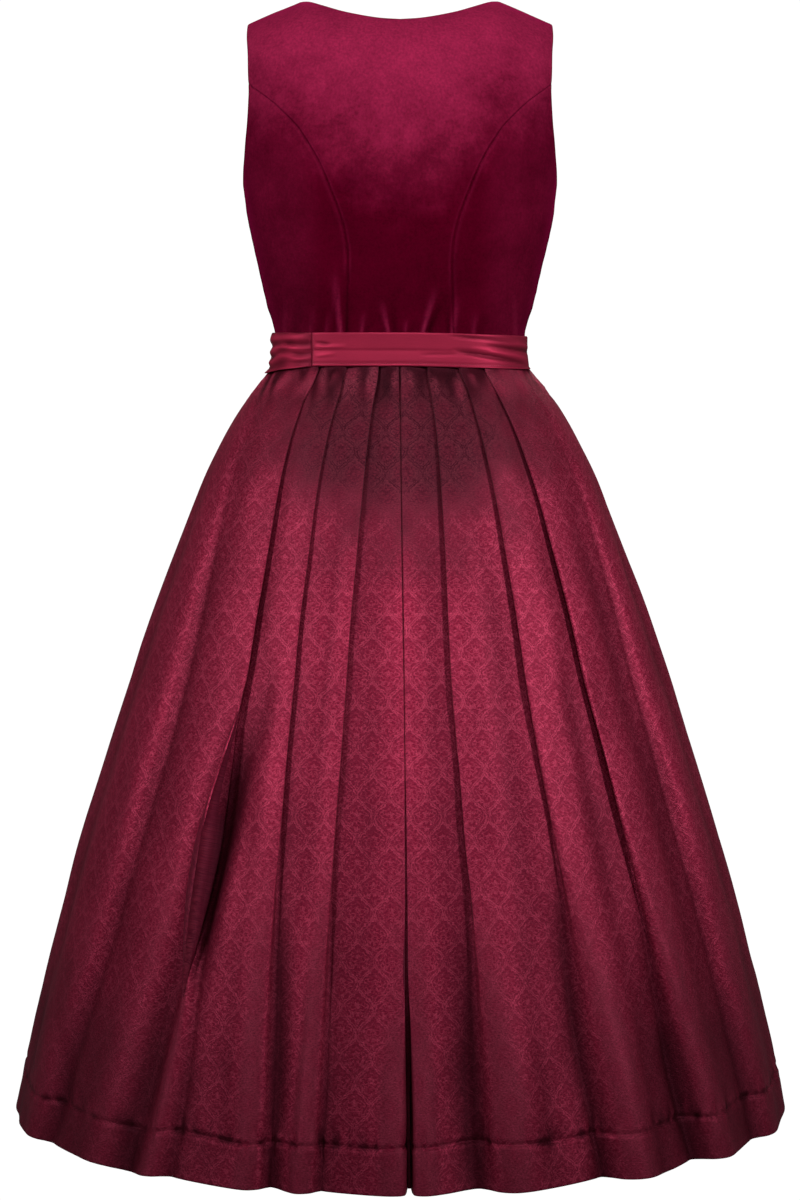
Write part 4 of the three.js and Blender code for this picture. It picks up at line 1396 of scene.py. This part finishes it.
def set_strips(piece, cloth, shift, strip, rows, columns):
    """Gives every face the flat coordinates of its own strip of cloth"""
    mesh = piece.data
    count = len(mesh.loops)
    vertex = np.empty(count, dtype=np.int64)
    mesh.loops.foreach_get("vertex_index", vertex)
    vertex = vertex % (rows * columns)
    row = vertex // columns
    column = vertex % columns
    total = np.empty(len(mesh.polygons), dtype=np.int64)
    mesh.polygons.foreach_get("loop_total", total)
    face = np.repeat(np.arange(len(total)), total)
    first = np.full(len(total), columns)
    np.minimum.at(first, face, column)
    own = strip[first[face]]
    flat = cloth[row, column].copy()
    flat[:, 0] += shift[row, own]
    mesh.uv_layers["cloth"].data.foreach_set("uv", (flat * MM).ravel())


quarters = [add_quarter(name, 40 + 10 * i) for i, name in enumerate(PLEATS)]
print("skirt triangles:", sum(2 * len(piece.data.polygons) for piece in quarters))

# %% [markdown]
# ## The belt
# A doubled strip of satin lies over the waist seam. It goes smoothly round most of the waist
# and ends in a gathered tie at the wearer's left, whose folds the smooth end holds down.
# Soft slanted creases run across the band at the right, where it is drawn round the side.

# %% Belt band
BELT_BOTTOM_EDGE = 356
BELT_CLEARANCE = 1.2
BELT_WALL = 1.4
BELT_DEGREE = 2.05
BELT_EDGE = (0.6, 1.5)
BELT_SIDE_SAG = 3.5
BELT_SEAM_TURN = -48
BELT_END_TURN = -132
TIE_UNDERLAP_TURN = 8
BELT_LAP_TURN = 12
BAND_HIGH = 32.5
TIE_HIGH = 36
WAIST_RADIUS = 118
BAND_STITCH_SHARE = 0.915
STITCH_RISE = 0.05
TIE_CLEARANCE = 3.6
BAND_CREASES = table(
    "turn share to_turn to_share width out",
    (27, 0.06, 66, 0.24, 1.5, -1.9),
    (40, 0.12, 88, 0.36, 1.7, 1.0),
    (31, 0.52, 76, 0.86, 1.7, -2.4),
    (38, 0.42, 80, 0.72, 1.9, 1.0),
    (47, 0.34, 92, 0.52, 1.6, -1.9),
    (12, 0.66, 40, 0.60, 1.4, -0.5),
    (-46, 0.30, -38, 0.36, 1.2, -1.2),
    (-47, 0.44, -30, 0.40, 1.6, 0.8),
    (-46, 0.70, -36, 0.62, 1.4, 0.6),
    (110, 0.25, 150, 0.45, 1.8, 0.8),
    (100, 0.75, 140, 0.60, 1.5, -0.8),
)


def belt_point(turn, down, out):
    upper = down < WAIST
    front = np.abs(turn) > 90
    side = np.where(upper, read(FORM, "side", down), read(SKIRT, "side", down))
    form_depth = np.where(front, read(FORM, "front", down), read(FORM, "back", down))
    skirt_depth = np.where(front, read(SKIRT, "front", down), read(SKIRT, "back", down))
    depth = np.where(upper, form_depth, skirt_depth)
    radius = section_radius(turn, side, depth, FORM_SQUARENESS) + out
    sine, cosine = np.sin(np.radians(turn)), np.cos(np.radians(turn))
    return np.stack([radius * sine, -radius * cosine, -down + 0 * radius], axis=-1)


def crease_relief(rows, turn, share, high, radius):
    """Creases and ridges on a strip, each drawn from one place to another"""
    x = turn * np.pi / 180 * radius
    y = share * high
    relief = 0
    for turn_from, share_from, turn_to, share_to, width, out in zip(*rows.values()):
        x0, x1 = turn_from * np.pi / 180 * radius, turn_to * np.pi / 180 * radius
        y0, y1 = share_from * high, share_to * high
        length = np.hypot(x1 - x0, y1 - y0)
        along = ((x - x0) * (x1 - x0) + (y - y0) * (y1 - y0)) / length
        aside = ((y - y0) * (x1 - x0) - (x - x0) * (y1 - y0)) / length
        taper = np.sin(np.pi * np.clip(along / length, 0, 1)) ** 0.7
        relief = relief + out * taper * bell(aside / width)
    return relief


def strip_piece(name, middle_of, turns, down_shares, relief, middle, depth, high, flip):
    """A piece of the belt, with the middle and the depth of its relief"""
    turn, share = np.meshgrid(turns, down_shares)
    base = middle_of(turn, share, 0.0)
    out = middle_of(turn, share, 1.0) - base
    normal = out / np.linalg.norm(out, axis=-1, keepdims=True)
    distances = edge_distances(base)
    sink = rolled(distances, dict.fromkeys(("top", "bottom", "near", "far"), BELT_EDGE))
    level = relief(turn, share)
    outer = base + normal * (BELT_WALL - 0.2 + level + sink)[..., None]
    inner = base + normal * (0.1 - sink * 0.4)[..., None]
    cloth = np.stack([turn * BELT_DEGREE, -share * high], axis=-1)
    # the relief, taken from its middle and scaled by its depth, becomes painted shade in the creases and
    # folds and painted highlight on their ridges
    return shell(name, outer, inner, cloth, (satin, satin), flip, (level - middle) / depth)


BAND_TO = BELT_END_TURN + 360


def band_place(turn, share, out):
    wrapped = np.where(turn > 180, turn - 360, turn)
    sag = BELT_SIDE_SAG * np.maximum(0, np.sin(np.radians(wrapped))) ** 2
    down = mix(BELT_TOP, BELT_BOTTOM_EDGE, share) + sag
    start = BAND_TO - TIE_UNDERLAP_TURN - BELT_LAP_TURN
    lap = (BELT_WALL + TIE_CLEARANCE) * ease((turn - start) / BELT_LAP_TURN)
    over_fronts = (LAP_HEIGHT + SEAM_GAP) * ease((24 - np.abs(turn - 180)) / 10)
    return belt_point(wrapped, down, BELT_CLEARANCE + lap + over_fronts + out)


def band_relief(turn, share):
    relief = crease_relief(BAND_CREASES, turn, share, BAND_HIGH, WAIST_RADIUS)
    calm = np.sin(np.pi * np.clip(share, 0, 1)) ** 0.4
    crown = 0.3 * np.sin(np.pi * share)
    soft = 0.14 * uneven(turn / 14, share * 1.2, 71) + 0.06 * uneven(turn / 5, share * 2, 72)
    stitched = -0.45 * bell((share - BAND_STITCH_SHARE) / 0.03)
    return np.clip(relief * calm + crown + soft * calm + stitched, -1.2, 2.4)


rows_of_band = shares(BAND_HIGH, 1.1)
band_turns = np.linspace(BELT_SEAM_TURN + 0.1, BAND_TO, 340)
strip_piece(
    "satin_band", band_place, band_turns, rows_of_band, band_relief,
    middle=0.1, depth=1.9, high=BAND_HIGH, flip=True,
)
print("band rows:", len(rows_of_band))

# %% [markdown]
# The tie's folds are a few rises and hollows across its height that drift up and down along
# it, as gathered satin does, and flatten where it is sewn on and where the band presses it.

# %% Gathered tie
TIE_FOLDS = table(
    "share out",
    (0, 0.6), (0.16, 2.4), (0.3, 0.5), (0.44, 2.8), (0.58, 0.6), (0.72, 2.4), (0.86, 0.7), (1, 1.6),
)
TIE_DEPTHS = table(
    "turn down",
    (48, 356.4), (62, 359), (84, 363.5), (104, 363), (124, 358), (142, 356),
)
TIE_FROM = -BELT_SEAM_TURN + 0.1
TIE_TO = -BELT_END_TURN + TIE_UNDERLAP_TURN


def tie_place(turn, share, out):
    down = mix(BELT_TOP, read(TIE_DEPTHS, "down", turn), share)
    return belt_point(turn, down, BELT_CLEARANCE + out) * (-1, 1, 1)


def tie_relief(turn, share):
    gathered = mix(0.25, 1, ease((turn - TIE_FROM) / 12))
    pressed_and_top_light = mix(1, 0.5, ease((turn - 122) / 10))
    drift = 0.09 * uneven(turn / 13, share * 1.4, 81) * np.sin(np.pi * share)
    fold = read(TIE_FOLDS, "out", np.clip(share + drift, 0, 1))
    sharper = fold + 0.5 * uneven(turn / 6, share * 7, 82)
    return np.clip(sharper * gathered * pressed_and_top_light, 0, 3.0)


tie_turns = np.linspace(TIE_FROM, TIE_TO, 130)
rows_of_tie = shares(TIE_HIGH, 0.8)
strip_piece(
    "satin_tie", tie_place, tie_turns, rows_of_tie, tie_relief,
    middle=1.25, depth=1.5, high=TIE_HIGH, flip=False,
)
print("tie rows:", len(rows_of_tie))

# %% [markdown]
# ## Stitches
# Small stitches run along the band's lower edge and down the seam of the tie. Hundreds of
# equal things that follow a path are work for Geometry Nodes: the tree resamples a path at
# the stitch length, puts one small thread on each point along the path's direction, and
# makes the copies real, so that they are plain mesh in the finished dress.

# %% Stitches along a path


def stitch_tree(material):
    tree = bpy.data.node_groups.new("stitches", "GeometryNodeTree")
    sockets = {}
    for name, kind in (("Geometry", "NodeSocketGeometry"), ("Pitch", "NodeSocketFloat"),
                       ("Length", "NodeSocketFloat"), ("Thickness", "NodeSocketFloat")):
        sockets[name] = tree.interface.new_socket(name=name, in_out="INPUT", socket_type=kind).identifier
    tree.interface.new_socket(name="Geometry", in_out="OUTPUT", socket_type="NodeSocketGeometry")
    made = {}

    def add(key, kind):
        made[key] = tree.nodes.new(kind)
        return made[key]

    def join(source, output, target, socket):
        tree.links.new(made[source].outputs[output], made[target].inputs[socket])

    add("in", "NodeGroupInput")
    add("out", "NodeGroupOutput")
    add("curve", "GeometryNodeMeshToCurve")
    add("even", "GeometryNodeResampleCurve").mode = "LENGTH"
    add("thread", "GeometryNodeMeshUVSphere")
    made["thread"].inputs["Segments"].default_value = 6
    made["thread"].inputs["Rings"].default_value = 4
    made["thread"].inputs["Radius"].default_value = 0.5
    add("size", "ShaderNodeCombineXYZ")
    add("shape", "GeometryNodeTransform")
    add("tangent", "GeometryNodeInputTangent")
    add("turn", "FunctionNodeAlignRotationToVector").axis = "X"
    add("place", "GeometryNodeInstanceOnPoints")
    add("real", "GeometryNodeRealizeInstances")
    add("paint", "GeometryNodeSetMaterial").inputs["Material"].default_value = material
    join("in", "Geometry", "curve", "Mesh")
    join("curve", "Curve", "even", "Curve")
    join("in", "Pitch", "even", "Length")
    join("in", "Length", "size", "X")
    join("in", "Thickness", "size", "Y")
    join("in", "Thickness", "size", "Z")
    join("thread", "Mesh", "shape", "Geometry")
    join("size", "Vector", "shape", "Scale")
    join("tangent", "Tangent", "turn", "Vector")
    join("even", "Curve", "place", "Points")
    join("shape", "Geometry", "place", "Instance")
    join("turn", "Rotation", "place", "Rotation")
    join("place", "Instances", "real", "Geometry")
    join("real", "Geometry", "paint", "Geometry")
    join("paint", "Geometry", "out", "Geometry")
    return tree, sockets


def thread_look(name, colour):
    look = Look(name)
    place = look.place()
    twist = look.noise(place, 2600.0, 1.0, 0.5)
    shade = look.lighten(colour, twist * 0.5 + 0.75)
    bump = look.bump(0.2, 0.0002, twist)
    return look.finish(Base_Color=shade, Roughness=0.5, Normal=bump)


def add_stitches(name, paths, pitch, length, thickness, material):
    points, edges = [], []
    for path in paths:
        start = len(points)
        points += (path * MM).tolist()
        edges += [(start + i, start + i + 1) for i in range(len(path) - 1)]
    mesh = bpy.data.meshes.new(name)
    mesh.from_pydata(points, edges, [])
    piece = add_object(name, mesh)
    tree, sockets = stitch_tree(material)
    modifier = piece.modifiers.new("stitches", "NODES")
    modifier.node_group = tree
    modifier[sockets["Pitch"]] = pitch * MM
    modifier[sockets["Length"]] = length * MM
    modifier[sockets["Thickness"]] = thickness * MM
    piece.update_tag()
    graph = bpy.context.evaluated_depsgraph_get()
    solid = bpy.data.meshes.new_from_object(piece.evaluated_get(graph))
    piece.modifiers.clear()
    piece.data = solid
    return piece


thread = thread_look("thread", (0.17, 0.012, 0.03))
edge_turn = np.linspace(BELT_SEAM_TURN + 1, BAND_TO - 1, 900)
edge_share = 0 * edge_turn + BAND_STITCH_SHARE
edge_out = BELT_WALL - 0.2 + band_relief(edge_turn, edge_share) + STITCH_RISE
seam_share = np.linspace(0.06, 0.94, 60)
seam_turn = 0 * seam_share + BELT_SEAM_TURN + 1.0
seam_out = BELT_WALL - 0.2 + band_relief(seam_turn, seam_share) + STITCH_RISE
band_paths = [band_place(edge_turn, edge_share, edge_out), band_place(seam_turn, seam_share, seam_out)]
band_stitches = add_stitches("satin_band_stitches", band_paths, 2.3, 1.7, 0.42, thread)
print("stitch faces:", len(band_stitches.data.polygons))

# %% [markdown]
# ## Buttons
# The hidden front closes with six velvet buttons. Each is a dome with a soft rim, turned from
# a short profile and set square on the lapped front.

# %% Covered buttons
BUTTON_RADIUS = 6.5
BUTTON_HEIGHT = 4
BUTTON_COUNT = 6
TOP_BUTTON_DOWN = 181
BUTTON_SPACING = 24
BUTTON_PROFILE = table(
    "radius height",
    (0.02, 0.02), (0.55, 0.02), (0.84, 0.05), (0.97, 0.20), (1, 0.36), (0.96, 0.55),
    (0.84, 0.75), (0.64, 0.88), (0.42, 0.955), (0.2, 0.985), (0.02, 0.99),
)


def lathe_piece_and_shade_colour(name, profile, at, normal, segments, material):
    """A round piece turned about a normal from a profile of radii and heights"""
    side = np.cross(normal, [0, 0, 1.0])
    side = side / np.linalg.norm(side)
    up = np.cross(side, normal)
    angle = np.arange(segments) * 2 * np.pi / segments
    ring = np.cos(angle)[:, None] * side + np.sin(angle)[:, None] * up
    radii, heights = profile
    points = at + ring[None] * radii[:, None, None] + normal * heights[:, None, None]
    rows = len(radii)
    points = points.reshape(-1, 3)
    faces = []
    for row in range(rows - 1):
        for i in range(segments):
            j = (i + 1) % segments
            a, b = row * segments + i, row * segments + j
            faces.append((a, b, b + segments, a + segments))
    faces.append(tuple(range(segments - 1, -1, -1)))
    faces.append(tuple(range((rows - 1) * segments, rows * segments)))
    mesh = bpy.data.meshes.new(name)
    mesh.from_pydata((points * MM).tolist(), [], faces)
    mesh.materials.append(material)
    mesh.shade_smooth()
    piece = add_object(name, mesh)
    return piece


buttons = []
for i in range(BUTTON_COUNT):
    turn, run = on_form(0, TOP_BUTTON_DOWN + i * BUTTON_SPACING, True)
    normal = form_normal(turn, run)
    spot = form_point(turn, run) + normal * (LAP_HEIGHT + SEAM_GAP)
    profile = BUTTON_PROFILE["radius"] * BUTTON_RADIUS, BUTTON_PROFILE["height"] * BUTTON_HEIGHT
    buttons.append(lathe_piece_and_shade_colour(f"velvet_button_{i + 1}", profile, spot, normal, 32, velvet))
print("buttons:", len(buttons))

# %% [markdown]
# ## Telling the frame
# Every piece rides on the dress's one body and replaces the plain solid it stands for. A
# skirt quarter's area counts the cloth that is folded into its pleats. The bodice and the
# band are stretched over the form, the skirt hangs from the bodice, and the tie is
# gathered.

# %% Ride and replace
CUTS = {
    "velvet_back_centre": ("bodice_back_centre", (0.33, 0.35), 0.066),
    "velvet_back_side_right": ("bodice_back_side_right", (0.15, 0.26), 0.0286),
    "velvet_back_side_left": ("bodice_back_side_left", (0.15, 0.26), 0.0286),
    "velvet_front_side_right": ("bodice_front_side_right", (0.15, 0.23), 0.0265),
    "velvet_front_side_left": ("bodice_front_side_left", (0.15, 0.23), 0.0265),
    "velvet_front_right": ("bodice_front_right", (0.16, 0.37), 0.0203),
    "velvet_front_left": ("bodice_front_left", (0.16, 0.37), 0.0203),
    "jacquard_back_right": ("skirt_back_right", (0.61, 0.81), 0.37),
    "jacquard_back_left": ("skirt_back_left", (0.61, 0.81), 0.385),
    "jacquard_front_right": ("skirt_front_right", (0.61, 0.81), 0.37),
    "jacquard_front_left": ("skirt_front_left", (0.61, 0.81), 0.37),
    "satin_band": ("belt_band", (0.54, 0.034), 0.0172),
    "satin_tie": ("belt_tie", (0.21, 0.042), 0.0078),
}
for name, (node, flat, area) in CUTS.items():
    piece = bpy.data.objects[name]
    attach(piece, "root")
    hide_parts(node)
    held, above = "stretched", ()
    if name.startswith("jacquard"):
        bodice = node.replace("skirt", "bodice")
        held, above = "hung", ["bodice_back_centre" if "back" in node else bodice]
    elif name == "satin_tie":
        held = "gathered"
    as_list(above)
for i, button in enumerate(buttons):
    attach(button, "root")
    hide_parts(f"button_{i + 1}")
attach(band_stitches, "root")
print("sheets declared:", len(CUTS))

# %% [markdown]
# ## Floor, light and camera
# The dress hangs over a plain pale disc, which lies below the main view. Five area lights
# with a narrow spread light it: a wide one for the skirt and a small one for the shoulders,
# one from each side, and one for the front. A white room fills in the rest. The camera
# stands 2.9 metres away and looks down by five degrees.

# %% Floor and lights
FLOOR = -1.38
FLOOR_RADIUS = 0.56
FLOOR_CORNERS = 96


def add_floor():
    look = Look("floor")
    place = look.place()
    tone = look.lighten((0.9, 0.9, 0.9), look.noise(place, 3.0) * 0.02 + 0.99)
    material = look.finish(Base_Color=tone, Roughness=0.9, Specular_IOR_Level=0.1)
    mesh = bpy.data.meshes.new("floor")
    turns = np.linspace(0, 2 * np.pi, FLOOR_CORNERS, endpoint=False)
    rim = [(FLOOR_RADIUS * np.cos(turn), FLOOR_RADIUS * np.sin(turn), FLOOR) for turn in turns]
    mesh.from_pydata(rim, [], [tuple(range(FLOOR_CORNERS))])
    mesh.materials.append(material)
    floor = add_object("floor", mesh)
    return floor


def add_light(name, place, aim, size, power, spread):
    lamp = bpy.data.lights.new(name, "AREA")
    lamp.shape = "RECTANGLE"
    lamp.size, lamp.size_y = size
    lamp.energy = power
    lamp.spread = np.radians(spread)
    light = add_object(name, lamp)
    light.visible_camera = False
    light.location = place
    light.rotation_euler = (Vector(aim) - Vector(place)).to_track_quat("-Z", "Y").to_euler()
    return light


def add_world(seen, cast):
    """A white room: how bright it looks, and how much light it casts"""
    world = bpy.data.worlds.new("studio")
    world.use_nodes = True
    nodes, links = world.node_tree.nodes, world.node_tree.links
    path = nodes.new("ShaderNodeLightPath")
    strength = nodes.new("ShaderNodeMapRange")
    strength.inputs["To Min"].default_value = cast
    strength.inputs["To Max"].default_value = seen
    links.new(path.outputs["Is Camera Ray"], strength.inputs["Value"])
    nodes["Background"].inputs["Color"].default_value = (1, 1, 1, 1)
    links.new(strength.outputs["Result"], nodes["Background"].inputs["Strength"])
    bpy.context.scene.world = world


add_floor()
add_light("key", (0, -2.6, 0.75), (0, -0.3, -0.60), (2.6, 0.3), 2.1, spread=24)
add_light("top", (0, -2.4, 0.9), (0, -0.1, -0.05), (0.9, 0.25), 1.55, spread=18)
add_light("left", (-2.2, -1.6, 0.5), (-0.1, -0.1, -0.50), (0.4, 0.8), 2.0, spread=36)
add_light("right", (2.2, -1.6, 0.5), (0.1, -0.1, -0.50), (0.4, 0.8), 2.4, spread=36)
add_light("front", (0.2, 2.4, 1.4), (0, 0, -0.45), (1.4, 0.8), 14, spread=80)
add_world(1.05, 0.06)
bpy.context.scene.view_settings.view_transform = "Standard"

# %% Camera
TILT = np.radians(5)
DISTANCE = 2.9
AIM = -0.5896
camera_data = bpy.data.cameras.new("camera")
camera_data.sensor_fit = "VERTICAL"
camera_data.sensor_height = 36
camera_data.lens = 87
camera = add_object("camera", camera_data)
camera.location = (0, -DISTANCE * np.cos(TILT), AIM + DISTANCE * np.sin(TILT))
camera.rotation_euler = (np.pi / 2 - TILT, 0, 0)
bpy.context.scene.camera = camera
print("camera height:", round(camera.location.z, 3), "m")
